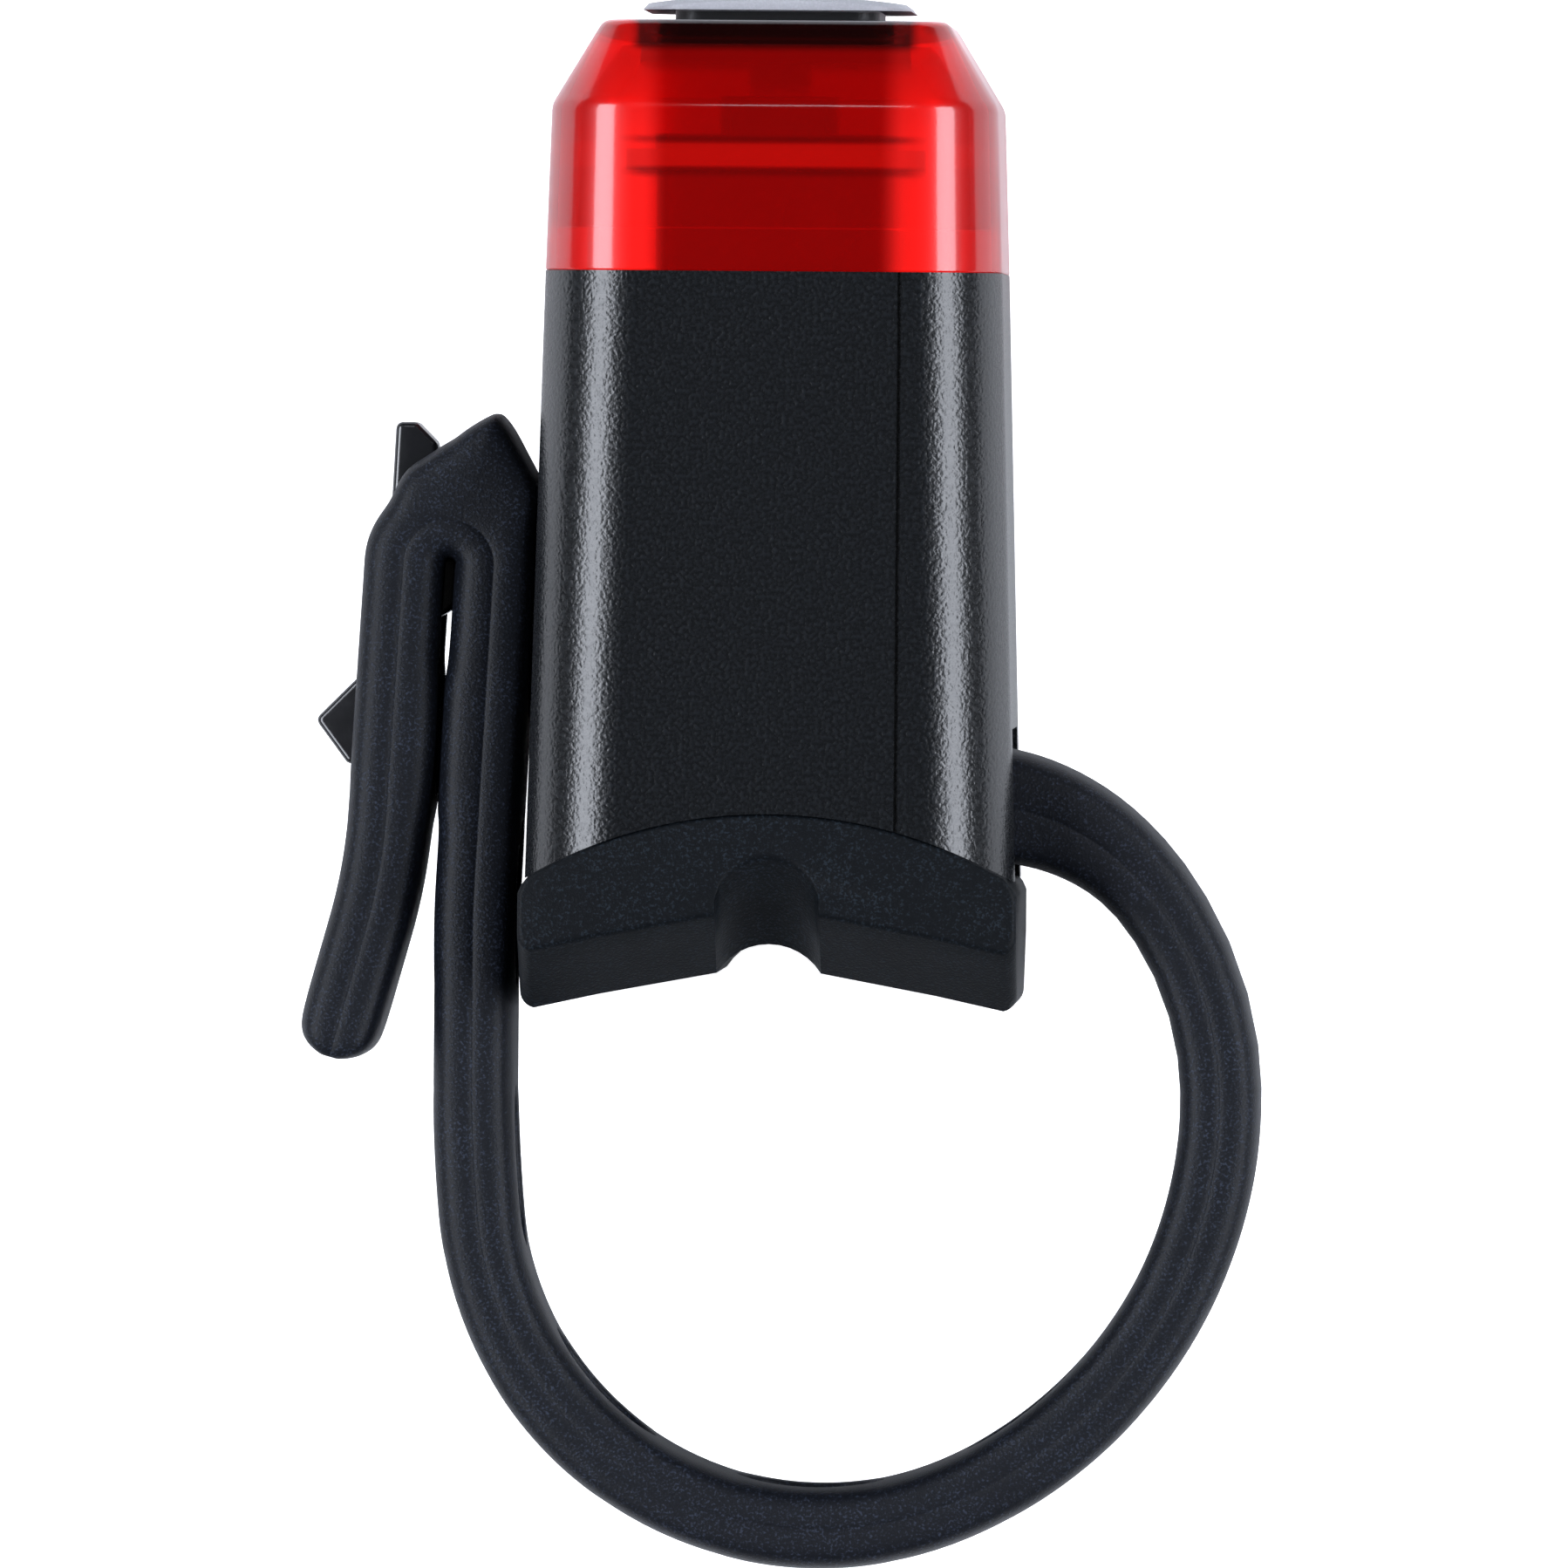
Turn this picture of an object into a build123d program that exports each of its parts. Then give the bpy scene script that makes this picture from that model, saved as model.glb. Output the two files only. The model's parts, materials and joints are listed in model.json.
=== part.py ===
from build123d import *
from math import atan2, cos, degrees, radians, sin, sqrt
import os

os.makedirs("parts", exist_ok=True)

# Millimetres. +Z is along the seatpost, -Y is where the light shines, and the housing lies on its flat
# base at Z = 0. X = 0 and Y = 0 are the middle of that base.

overrun = 2.0                 # how far every cut runs past the face it opens
seat_gap = 0.3                # between rubber or moving pieces and what they lie beside

# Housing: a cup that is open towards the lens, a little wider at the seatpost
housing_height = 28.0
housing_rear_width = 25.35
housing_flare = 0.85
housing_front_width = housing_rear_width - 2 * housing_flare
housing_corner_radius = 4.7
housing_wall = 1.8
housing_ledge = 0.9
lens_seam_depth = 15.7
lens_seam_y = -lens_seam_depth
housing_rear_y = 16.2
cavity_depth = 22.2
seam_arch_top_y = 12.3
seam_arch_radius = 24.9
seam_arch_y = seam_arch_top_y + seam_arch_radius
middle_z = housing_height / 2
panel_line_offset = 6.6
panel_line_x = -panel_line_offset
panel_line_width = 0.22
panel_line_depth = 0.18

# Lens: a red cap whose front is chamfered all round, with a tongue that enters the housing
lens_wall = 1.5
lens_shoulder_depth = 8.6
lens_shoulder_y = lens_seam_y - lens_shoulder_depth
lens_flare = 0.275
lens_shoulder_width = housing_front_width - 2 * lens_flare
lens_chamfer_depth = 4.4
lens_front_y = lens_shoulder_y - lens_chamfer_depth
lens_chamfer_width = 2.65
lens_front_width = lens_shoulder_width - 2 * lens_chamfer_width
lens_front_fillet = 0.8
lens_tongue_length = 2.2
lens_tongue_wall = 0.85
lens_tongue_gap = 0.08

# Button: a crowned plate over the lens front, whose stem goes through a rubber collar to the switch
plate_overhang = 0.35
plate_corner_radius = 2.6
plate_crown = 0.45
plate_edge_chamfer = 0.25
button_proud = 1.3
button_top_y = lens_front_y - button_proud
plate_underside_gap = 0.55
collar_side_margin = 2.3
collar_end_margin = 2.42
collar_width = lens_front_width - 2 * collar_side_margin
lens_shoulder_height = housing_height - 2 * lens_flare
lens_front_height = lens_shoulder_height - 2 * lens_chamfer_width
collar_height = lens_front_height - 2 * collar_end_margin
plate_width = collar_width + 2 * plate_overhang
plate_height = collar_height + 2 * plate_overhang
collar_corner_radius = 2.3
collar_wall = 1.0
stem_wall = 1.1
stem_flange_overlap = 0.5
stem_flange_width = collar_width + 2 * stem_flange_overlap
stem_flange_height = collar_height + 2 * stem_flange_overlap
stem_flange_thickness = 0.8
flange_gap = 0.1

# Switch, on the small board that lies on the light tower
switch_size = 6.0
switch_depth = 1.5
plunger_radius = 1.6
plunger_gap = 0.06
plunger_proud = 0.8
plunger_sunk = 0.9
switch_board_width = 12.5
switch_board_thickness = 0.8

# Light tower: the dark box behind the lens, with a shelf round its front
tower_width = 12.3
tower_end_margin = 6.0
tower_height = housing_height - 2 * tower_end_margin
switch_board_height = tower_height
tower_wall = 1.2
tower_top_setback = 6.7
tower_top_y = lens_front_y + tower_top_setback
tower_corner_radius = 1.2
shelf_overhang = 1.6
shelf_width = tower_width + 2 * shelf_overhang
shelf_height = tower_height + 2 * shelf_overhang
shelf_thickness = 1.1
shelf_corner_radius = 2.0
tower_ring_offset = 2.2
tower_ring_x = -tower_ring_offset
tower_ring_drop = 3.6
tower_ring_y = tower_top_y + tower_ring_drop
tower_ring_radius = 2.3
tower_ring_wall = 0.5
tower_eye_radius = 1.0
tower_eye_height = 0.5

# Boards, lamps and charging parts
board_thickness = 1.2
board_corner_radius = 2.35
board_setback = 0.7
board_front_y = lens_seam_y + board_setback
board_edge_gap = 0.15
lamp_size = 2.4
lamp_depth = 0.9
lamp_bevel = 0.35
lamp_rows = 3
lamp_end_margin = 2.0
lamp_pitch = (tower_height - 2 * lamp_end_margin) / (lamp_rows - 1)
lamp_gap = 0.1
chip_size = 4.0
chip_depth = 0.9
chip_offset = 4.2
chip_x = -chip_offset
chip_z_from_middle = 5.4
port_width = 8.94
port_thickness = 3.26
port_depth = 7.3
port_shell_wall = 0.25
port_recess = 1.9
port_hole_gap = 0.25
tongue_width = 6.7
tongue_thickness = 0.7
tongue_setback = 0.8
usb_board_width = 10.6
usb_board_thickness = 0.8
usb_board_setback = 8.5
usb_board_front_y = lens_seam_y + usb_board_setback
pin_size = 0.64
pin_pitch = 2.54
pin_count = 4
pin_row_drop = 0.5

# Battery and its leads
battery_side_room = 4.3
battery_end_room = 6.5
battery_width = housing_front_width - 2 * battery_side_room
battery_height = housing_height - 2 * battery_end_room
battery_depth = 9.0
battery_corner_radius = 2.0
foam_thickness = 1.9
foam_share = 0.75
lead_radius = 0.55
lead_spacing = 2.6
lead_inset = 1.5

# Screws that hold the lamp board on the four posts
post_side_room = 4.5
post_end_room = 4.6
post_x = housing_front_width / 2 - post_side_room
post_z_from_middle = housing_height / 2 - post_end_room
post_radius = 1.7
screw_radius = 0.7
screw_length = 6.0
screw_head_radius = 1.35
screw_head_height = 0.7
screw_drive_size = 0.7
screw_drive_depth = 0.45

# Pad: rubber saddle with a V for the seatpost and a round groove along its middle
pad_overhang = 0.2
pad_width = housing_rear_width + 2 * pad_overhang
pad_middle_thickness = 8.3
pad_vee_y = seam_arch_top_y + pad_middle_thickness
pad_vee_rise = 1.9
pad_corner_y = pad_vee_y + pad_vee_rise
pad_corner_radius = 0.9
pad_side_radius = 0.6
groove_half_width = 2.7
groove_depth = 1.5
groove_end_depth = 3.0
pad_bevel_rise = 3.1
pad_bevel_length = 5.0
pad_stud_radius = 1.5
pad_stud_length = 3.0
pad_stud_gap = 0.1
pad_stud_end_room = 6.4
pad_stud_z_from_middle = housing_height / 2 - pad_stud_end_room

# Strap: one rubber band with oval slots, from its pin round the seatpost and over the hook
strap_width = 12.0
strap_thickness = 4.2
strap_root_thickness = 5.9
strap_edge_chamfer = 0.5
strap_start_inset = 0.25
strap_start_x = strap_start_inset - housing_rear_width / 2
strap_start_below_arch = 0.3
strap_start_y = seam_arch_top_y - strap_start_below_arch
strap_pad_gap = 0.43
strap_start_heading = 10.5
root_bend_radius = 12.0
root_bend_angle = 42.5
side_bend_radius = 17.5
side_bend_angle = 36.5
lower_bend_angle = 66.0
post_bend_radius = 17.8
post_bend_angle = 109.0
rise_bend_radius = 80.0
rise_bend_angle = 5.5
rise_length = 6.8
lean_bend_radius = 55.0
lean_bend_angle = 3.0
lean_length = 16.4
fold_radius = 2.35
fold_angle = -179.6
fall_length = 13.0
tail_bend_radius = 29.0
tail_bend_angle = 12.2
tail_length = 4.9
slot_width = 5.2
slot_length = 8.6
slot_pitch = 14.0
slot_count = 6
hook_slot_length = 8.6
ridge_rise = 3.9
ridge_lean = 2.0
ridge_shoulder = 0.45
ridge_far_share = 0.62
ridge_inset = 0.25
ridge_radius = 0.35

# Pin that the strap turns on inside the housing
eye_inset = 4.1
eye_x = eye_inset - housing_rear_width / 2
eye_rise = 1.2
eye_y = seam_arch_top_y - eye_rise
eye_radius = 2.5
strap_pin_radius = 1.1
strap_pin_gap = 0.05
strap_pin_inset = 1.2
strap_pin_end_room = 5.6
strap_pin_length = housing_height - 2 * strap_pin_inset - strap_pin_end_room

# Hook: a black plastic arm through the side wall, with a horn and a nose that hold the strap
hook_width = 4.6
hook_arm_low_y = 1.7
hook_arm_thickness = 2.5
hook_reach = 5.0
hook_flange_thickness = 1.1
hook_flange_overlap = 1.5
hook_neck_reach = 5.05
hook_horn_reach = 7.55
hook_horn_rise = 7.8
hook_horn_width = 2.1
hook_nose_reach = 11.65
hook_nose_y = 7.7
hook_flank = 2.4
hook_foot_y = 10.0
hook_inner_reach = 5.5
hook_inner_y = 8.2
hook_edge_radius = 0.3
hook_window_gap = 0.05

# Rubber flap over the charging port, on the base
flap_length = 14.6
flap_width = 6.2
flap_thickness = 0.9
flap_sunk = 0.1
flap_gap = 0.3
flap_bead_radius = 0.45
flap_plug_gap = 0.45
flap_plug_depth = 0.7
flap_corner_radius = 1.0


def level_section(y, width, height, radius):
    """A rounded rectangle that stands across the light's depth at y."""
    plane = Plane(origin=(0, y, middle_z), x_dir=(1, 0, 0), z_dir=(0, -1, 0))
    return plane * RectangleRounded(width, height, radius)


def level_block(near_y, far_y, width, height, radius):
    """A rounded block between two depths; near_y is towards the lens."""
    return extrude(level_section(far_y, width, height, radius), far_y - near_y)


def symmetric_outline(stations):
    """The face between the stations' two edges; a station is (depth, width)."""
    right = [(width / 2, depth) for depth, width in stations]
    left = [(-x, depth) for x, depth in reversed(right)]
    return make_face(Polyline(*right, *left, close=True))


def drafted_block(widths, heights, radius):
    """A block whose width and height change with its depth, and whose four long edges are round."""
    reach = heights[-1][1]
    block = upright(symmetric_outline(widths), middle_z - reach, middle_z + reach)
    side_plane = Plane(origin=(0, 0, middle_z), x_dir=(0, 0, 1), z_dir=(-1, 0, 0))
    block &= extrude(side_plane * symmetric_outline(heights), widths[-1][1], both=True)
    long_edges = block.edges().filter_by(lambda edge: abs(edge.tangent_at(0).Y) > sqrt(1 / 2))
    return fillet(long_edges, radius)


def upright(outline, low_z, high_z):
    """Extrudes a face drawn in X and Y from low_z to high_z."""
    return extrude(Pos(0, 0, low_z) * outline, high_z - low_z)


def rod_along_y(x, z, near_y, far_y, radius):
    plane = Plane(origin=(x, far_y, z), x_dir=(1, 0, 0), z_dir=(0, -1, 0))
    return extrude(plane * Circle(radius), far_y - near_y)


def rod_along_z(x, y, low_z, high_z, radius):
    return extrude(Pos(x, y, low_z) * Circle(radius), high_z - low_z)


def box_between(x1, x2, y1, y2, z1, z2):
    place = Pos((x1 + x2) / 2, (y1 + y2) / 2, (z1 + z2) / 2)
    return place * Box(abs(x2 - x1), abs(y2 - y1), abs(z2 - z1))


def housing_width_at(y):
    share = (y - lens_seam_y) / (housing_rear_y - lens_seam_y)
    return housing_front_width + share * (housing_rear_width - housing_front_width)


def seam_y_at(x):
    """The arched joint between the housing and the pad."""
    return seam_arch_y - sqrt(seam_arch_radius ** 2 - x ** 2)


cavity_far_y = lens_seam_y + cavity_depth
tongue_far_y = lens_seam_y + lens_tongue_length
board_far_y = board_front_y + board_thickness
mouth_far_y = tongue_far_y + housing_ledge
usb_port_far_y = usb_board_front_y
usb_port_near_y = usb_port_far_y - port_thickness
usb_port_y = (usb_port_near_y + usb_port_far_y) / 2
slot_half_z = strap_width / 2 + seat_gap
hook_arm_high_y = hook_arm_low_y - hook_arm_thickness


def sideways(radius, start, end):
    """How far along X a bend takes the band between two headings."""
    return radius * (sin(radians(start)) - sin(radians(end)))


def lower_bend_radius():
    """The radius of the loop's lower bend, with which the last leg clears the pad's side."""
    leg_x = pad_width / 2 + strap_thickness / 2 + strap_pad_gap
    side = strap_start_heading + root_bend_angle
    lower = side + side_bend_angle
    post = lower + lower_bend_angle
    rise = post + post_bend_angle
    lean = rise + rise_bend_angle
    leg = lean + lean_bend_angle
    others = sideways(root_bend_radius, strap_start_heading, side) + sideways(side_bend_radius, side, lower)
    others += sideways(post_bend_radius, post, rise) + sideways(rise_bend_radius, rise, lean)
    others += sideways(lean_bend_radius, lean, leg) - rise_length * cos(radians(lean))
    return (leg_x - strap_start_x - others) / sideways(1, lower, post)


def strap_route():
    """The strap's centre line: each bend is a radius and a turn, and each straight run a length."""
    return [
        ("bend", root_bend_radius, root_bend_angle),
        ("bend", side_bend_radius, side_bend_angle),
        ("bend", lower_bend_radius(), lower_bend_angle),
        ("bend", post_bend_radius, post_bend_angle),
        ("bend", rise_bend_radius, rise_bend_angle),
        ("run", rise_length, 0),
        ("bend", lean_bend_radius, lean_bend_angle),
        ("run", lean_length, 0),
        ("bend", fold_radius, fold_angle),
        ("run", fall_length, 0),
        ("bend", tail_bend_radius, tail_bend_angle),
        ("run", tail_length, 0),
    ]


def point_on_bend(x, y, heading, radius, turn):
    """Where a bend ends. A positive turn goes the way the strap wraps the seatpost."""
    side = 1 if turn > 0 else -1
    start, end = radians(heading), radians(heading + turn)
    return (x - side * radius * (sin(end) - sin(start)), y + side * radius * (cos(start) - cos(end)))


def walk_strap():
    """Returns each stretch as (kind, size, turn, x, y, heading, distance at its start)."""
    x, y, heading, distance = strap_start_x, strap_start_y, strap_start_heading, 0
    stretches = []
    for kind, size, turn in strap_route():
        stretches.append((kind, size, turn, x, y, heading, distance))
        if kind == "run":
            x, y = x - size * cos(radians(heading)), y + size * sin(radians(heading))
            distance += size
        else:
            x, y = point_on_bend(x, y, heading, size, turn)
            heading += turn
            distance += size * radians(abs(turn))
    stretches.append(("end", 0, 0, x, y, heading, distance))
    return stretches


def strap_place(target):
    """The point and the heading at a distance along the strap."""
    for (kind, size, turn, x, y, heading, distance), after in zip(walk_strap(), walk_strap()[1:]):
        if target <= after[6]:
            if kind == "run":
                along = target - distance
                return x - along * cos(radians(heading)), y + along * sin(radians(heading)), heading
            share = (target - distance) / (after[6] - distance)
            px, py = point_on_bend(x, y, heading, size, turn * share)
            return px, py, heading + turn * share
    return x, y, heading


def post_places():
    """Where the four posts and their screws stand in X and Z."""
    return [
        (x, middle_z + z)
        for x in (-post_x, post_x) for z in (-post_z_from_middle, post_z_from_middle)
    ]


def stud_places():
    """Where the pad's two studs stand along Z."""
    return [middle_z - pad_stud_z_from_middle, middle_z + pad_stud_z_from_middle]


def make_housing():
    widths = [(lens_seam_y, housing_front_width), (housing_rear_y, housing_rear_width)]
    heights = [(lens_seam_y, housing_height), (housing_rear_y, housing_height)]
    body = drafted_block(widths, heights, housing_corner_radius)
    body -= rod_along_z(0, seam_arch_y, -overrun, housing_height + overrun, seam_arch_radius)

    inset = housing_wall + housing_ledge
    mouth_width = housing_front_width - 2 * housing_wall
    mouth_height = housing_height - 2 * housing_wall
    mouth_radius = housing_corner_radius - housing_wall
    body -= level_block(lens_seam_y - overrun, mouth_far_y, mouth_width, mouth_height, mouth_radius)
    cavity = level_block(
        lens_seam_y - overrun, cavity_far_y, housing_front_width - 2 * inset,
        housing_height - 2 * inset, housing_corner_radius - inset)
    for x, z in post_places():
        cavity -= rod_along_y(x, z, board_far_y, cavity_far_y + overrun, post_radius)
    body -= cavity
    for x, z in post_places():
        body -= rod_along_y(x, z, board_far_y - overrun, board_far_y + screw_length, screw_radius)

    # The strap's chamber is open to the side and to the pad, and its mouth is flared
    side_x = -housing_rear_width / 2
    chamber_x = eye_x + eye_radius + seat_gap
    chamber_y = eye_y - eye_radius - seat_gap
    chamber = Polyline(
        (chamber_x, chamber_y), (side_x + housing_wall / 2, chamber_y),
        (side_x - overrun, chamber_y - housing_wall), (side_x - overrun, housing_rear_y + overrun),
        (chamber_x, housing_rear_y + overrun), (chamber_x, chamber_y))
    body -= upright(make_face(chamber), middle_z - slot_half_z, middle_z + slot_half_z)
    pin_hole_end = strap_pin_inset + strap_pin_length + strap_pin_gap
    body -= rod_along_z(eye_x, eye_y, -overrun, pin_hole_end, strap_pin_radius + strap_pin_gap)

    # Window for the hook's arm
    body -= box_between(
        0, housing_rear_width / 2 + overrun,
        hook_arm_high_y - hook_window_gap, hook_arm_low_y + hook_window_gap,
        middle_z - hook_width / 2 - hook_window_gap, middle_z + hook_width / 2 + hook_window_gap)

    # Holes for the pad's studs
    stud_hole_y = seam_arch_top_y - pad_stud_length - pad_stud_gap
    for z in stud_places():
        body -= rod_along_y(0, z, stud_hole_y, housing_rear_y, pad_stud_radius + pad_stud_gap)

    # Charging port: a recess for the flap, the bead's groove and the hole
    body -= port_pocket()

    # Joint line of the strap's cover on the upper face
    line_low_z = housing_height - panel_line_depth
    line_high_z = housing_height + overrun
    body -= box_between(
        panel_line_x - panel_line_width / 2, panel_line_x + panel_line_width / 2,
        lens_seam_y - overrun, seam_y_at(panel_line_x) + overrun, line_low_z, line_high_z)
    return body


def flap_edges():
    """The flap's hinge line and its free end along X."""
    return -flap_length / 2, flap_length / 2


def port_pocket():
    hinge_x, free_x = flap_edges()
    wide = flap_width / 2 + flap_gap
    recess_depth = flap_sunk + flap_thickness
    pocket = box_between(
        hinge_x, free_x + flap_gap, usb_port_y - wide, usb_port_y + wide, -overrun, recess_depth)
    plane = Plane(
        origin=(hinge_x, usb_port_y - wide, flap_sunk + flap_bead_radius), x_dir=(1, 0, 0), z_dir=(0, 1, 0))
    groove = extrude(plane * Circle(flap_bead_radius + flap_gap), 2 * wide)
    pocket += groove
    pocket += box_between(
        hinge_x - flap_bead_radius - flap_gap, hinge_x, usb_port_y - wide, usb_port_y + wide,
        -overrun, flap_sunk + flap_bead_radius)
    pocket += box_between(
        -port_width / 2 - port_hole_gap, port_width / 2 + port_hole_gap,
        usb_port_near_y - port_hole_gap, usb_port_far_y + port_hole_gap,
        -overrun, housing_wall + housing_ledge + overrun)
    return pocket


def lens_side(shrink, near_y, far_y):
    """The stretch of the lens, or with a shrink of its hollow, that flares slightly towards the seam."""
    angle = degrees(atan2(lens_flare, lens_seam_y - lens_shoulder_y))
    width, height = housing_front_width - 2 * shrink, housing_height - 2 * shrink
    radius = housing_corner_radius - shrink
    side = extrude(level_section(lens_seam_y, width, height, radius), lens_seam_y - near_y, taper=angle)
    if far_y > lens_seam_y:
        side += level_block(lens_seam_y, far_y, width, height, radius)
    return side


def lens_nose(shrink, front_y):
    """The chamfer all round the lens front."""
    radius = housing_corner_radius - lens_flare
    angle = degrees(atan2(lens_chamfer_width, lens_chamfer_depth))
    at_shoulder = level_section(
        lens_shoulder_y, lens_shoulder_width - 2 * shrink, lens_shoulder_height - 2 * shrink, radius - shrink)
    return extrude(at_shoulder, lens_shoulder_y - front_y, taper=angle)


def make_lens():
    nose = lens_nose(0, lens_front_y)
    nose = fillet(nose.faces().sort_by(Axis.Y)[0].edges(), lens_front_fillet)
    shell = nose + lens_side(0, lens_shoulder_y, lens_seam_y)
    shell -= lens_nose(lens_wall, lens_front_y + lens_wall)
    shell -= lens_side(lens_wall, lens_shoulder_y, lens_seam_y + overrun)

    outer_width = housing_front_width - 2 * (housing_wall + lens_tongue_gap)
    outer_height = housing_height - 2 * (housing_wall + lens_tongue_gap)
    radius = housing_corner_radius - housing_wall - lens_tongue_gap
    root_y = lens_seam_y - lens_tongue_length
    tongue = level_block(root_y, tongue_far_y, outer_width, outer_height, radius)
    tongue += level_block(
        root_y, lens_seam_y, housing_front_width - lens_wall, housing_height - lens_wall,
        housing_corner_radius - lens_wall / 2)
    tongue -= level_block(
        root_y - overrun, tongue_far_y + overrun, outer_width - 2 * lens_tongue_wall,
        outer_height - 2 * lens_tongue_wall, radius - lens_tongue_wall)
    shell += tongue
    front_y, hollow_y = lens_front_y - overrun, lens_front_y + 2 * lens_wall
    shell -= level_block(front_y, hollow_y, collar_width, collar_height, collar_corner_radius)
    return shell


def make_lens_gasket():
    width = housing_front_width - 2 * (housing_wall + lens_tongue_gap)
    height = housing_height - 2 * (housing_wall + lens_tongue_gap)
    radius = housing_corner_radius - housing_wall - lens_tongue_gap
    ring = level_block(tongue_far_y, mouth_far_y, width, height, radius)
    ring -= level_block(
        tongue_far_y - overrun, mouth_far_y + overrun, width - 2 * lens_tongue_wall,
        height - 2 * lens_tongue_wall, radius - lens_tongue_wall)
    return ring


def make_button_collar():
    far_y = lens_front_y + lens_wall
    collar = level_block(lens_front_y, far_y, collar_width, collar_height, collar_corner_radius)
    collar -= level_block(
        lens_front_y - overrun, far_y + overrun, collar_width - 2 * collar_wall,
        collar_height - 2 * collar_wall, collar_corner_radius - collar_wall)
    return collar


def make_power_button():
    underside_y = lens_front_y - plate_underside_gap
    plate = level_block(button_top_y, underside_y, plate_width, plate_height, plate_corner_radius)
    crown_radius = (plate_width ** 2 / 4 + plate_crown ** 2) / (2 * plate_crown)
    plate &= rod_along_z(0, button_top_y + crown_radius, 0, housing_height, crown_radius)
    plate = chamfer(plate.faces().sort_by(Axis.Y)[0].edges(), plate_edge_chamfer)
    stem_width = collar_width - 2 * (collar_wall + seat_gap)
    stem_height = collar_height - 2 * (collar_wall + seat_gap)
    stem_radius = collar_corner_radius - collar_wall
    flange_near_y = lens_front_y + lens_wall + flange_gap
    flange_far_y = flange_near_y + stem_flange_thickness
    stem = level_block(underside_y, flange_far_y, stem_width, stem_height, stem_radius)
    flange = level_block(
        flange_near_y, flange_far_y, stem_flange_width, stem_flange_height, stem_radius)
    hollow = level_block(
        underside_y, flange_far_y + overrun, stem_width - 2 * stem_wall, stem_height - 2 * stem_wall,
        stem_radius / 2)
    post = rod_along_y(0, middle_z, underside_y, plunger_top_y() - plunger_gap, plunger_radius)
    return plate + (stem + flange - hollow) + post


def switch_near_y():
    return tower_top_y - switch_board_thickness - switch_depth


def plunger_top_y():
    return switch_near_y() - plunger_proud


def make_switch_body():
    far_y = tower_top_y - switch_board_thickness
    body = box_between(
        -switch_size / 2, switch_size / 2, switch_near_y(), far_y,
        middle_z - switch_size / 2, middle_z + switch_size / 2)
    body = chamfer(body.edges().filter_by(Axis.Y), switch_size / 12)
    hole_radius = plunger_radius + plunger_gap
    return body - rod_along_y(0, middle_z, switch_near_y() - overrun, far_y + overrun, hole_radius)


def make_switch_plunger():
    body = rod_along_y(0, middle_z, plunger_top_y(), switch_near_y() + plunger_sunk, plunger_radius)
    return chamfer(body.edges().sort_by(Axis.Y)[0], plunger_radius / 8)


def make_switch_board():
    return level_block(
        tower_top_y - switch_board_thickness, tower_top_y, switch_board_width, switch_board_height,
        tower_corner_radius)


def make_light_tower():
    tower = level_block(tower_top_y, board_front_y, tower_width, tower_height, tower_corner_radius)
    tower += level_block(
        tower_top_y, tower_top_y + shelf_thickness, shelf_width, shelf_height, shelf_corner_radius)
    tower -= level_block(
        tower_top_y - overrun, board_front_y + overrun, tower_width - 2 * tower_wall,
        tower_height - 2 * tower_wall, tower_corner_radius / 2)
    face_z = middle_z + tower_height / 2
    ring = rod_along_z(tower_ring_x, tower_ring_y, face_z, face_z + tower_eye_height, tower_ring_radius)
    ring -= rod_along_z(
        tower_ring_x, tower_ring_y, face_z, face_z + tower_eye_height, tower_ring_radius - tower_ring_wall)
    eye = rod_along_z(tower_ring_x, tower_ring_y, face_z, face_z + tower_eye_height, tower_eye_radius)
    return tower + ring + eye


def board_size():
    tongue = housing_wall + lens_tongue_gap + lens_tongue_wall + board_edge_gap
    return housing_front_width - 2 * tongue, housing_height - 2 * tongue


def make_lamp_board():
    width, height = board_size()
    board = level_block(board_front_y, board_far_y, width, height, board_corner_radius)
    for x, z in post_places():
        board -= rod_along_y(x, z, board_front_y - overrun, board_far_y + overrun, screw_radius)
    return board


def make_lamps():
    lamps = []
    for side in (-1, 1):
        x = side * (tower_width / 2 + lamp_gap + lamp_size / 2)
        for row in range(lamp_rows):
            z = middle_z + (row - (lamp_rows - 1) / 2) * lamp_pitch
            lamp = box_between(
                x - lamp_size / 2, x + lamp_size / 2, board_front_y - lamp_depth, board_front_y,
                z - lamp_size / 2, z + lamp_size / 2)
            lamps.append(chamfer(lamp.faces().sort_by(Axis.Y)[0].edges(), lamp_bevel))
    return Compound(children=lamps)


def make_charge_chip():
    z = middle_z + chip_z_from_middle
    chip = box_between(
        chip_x - chip_size / 2, chip_x + chip_size / 2, board_far_y, board_far_y + chip_depth,
        z - chip_size / 2, z + chip_size / 2)
    return chamfer(chip.faces().sort_by(Axis.Y)[-1].edges(), chip_depth / 6)


def make_board_screws():
    screws = []
    head_y = board_front_y - screw_head_height
    half = screw_drive_size / 2
    long = screw_head_radius * screw_drive_size
    for x, z in post_places():
        screw = rod_along_y(x, z, head_y, board_front_y, screw_head_radius)
        screw += rod_along_y(x, z, board_front_y, board_far_y + screw_length, screw_radius)
        for wide, tall in ((half, long), (long, half)):
            screw -= box_between(
                x - wide, x + wide, head_y - overrun, head_y + screw_drive_depth, z - tall, z + tall)
        screws.append(screw)
    return Compound(children=screws)


def make_usb_board():
    low_z = port_recess + port_depth / 3
    high_z = middle_z - pin_row_drop + 2 * pin_size
    return box_between(
        -usb_board_width / 2, usb_board_width / 2, usb_board_front_y, usb_board_front_y + usb_board_thickness,
        low_z, high_z)


def port_section(z, grow):
    """The round-ended outline of the charging port, grown all round."""
    width, thickness = port_width + 2 * grow, port_thickness + 2 * grow
    return Pos(0, usb_port_y, z) * SlotOverall(width, thickness)


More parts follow.
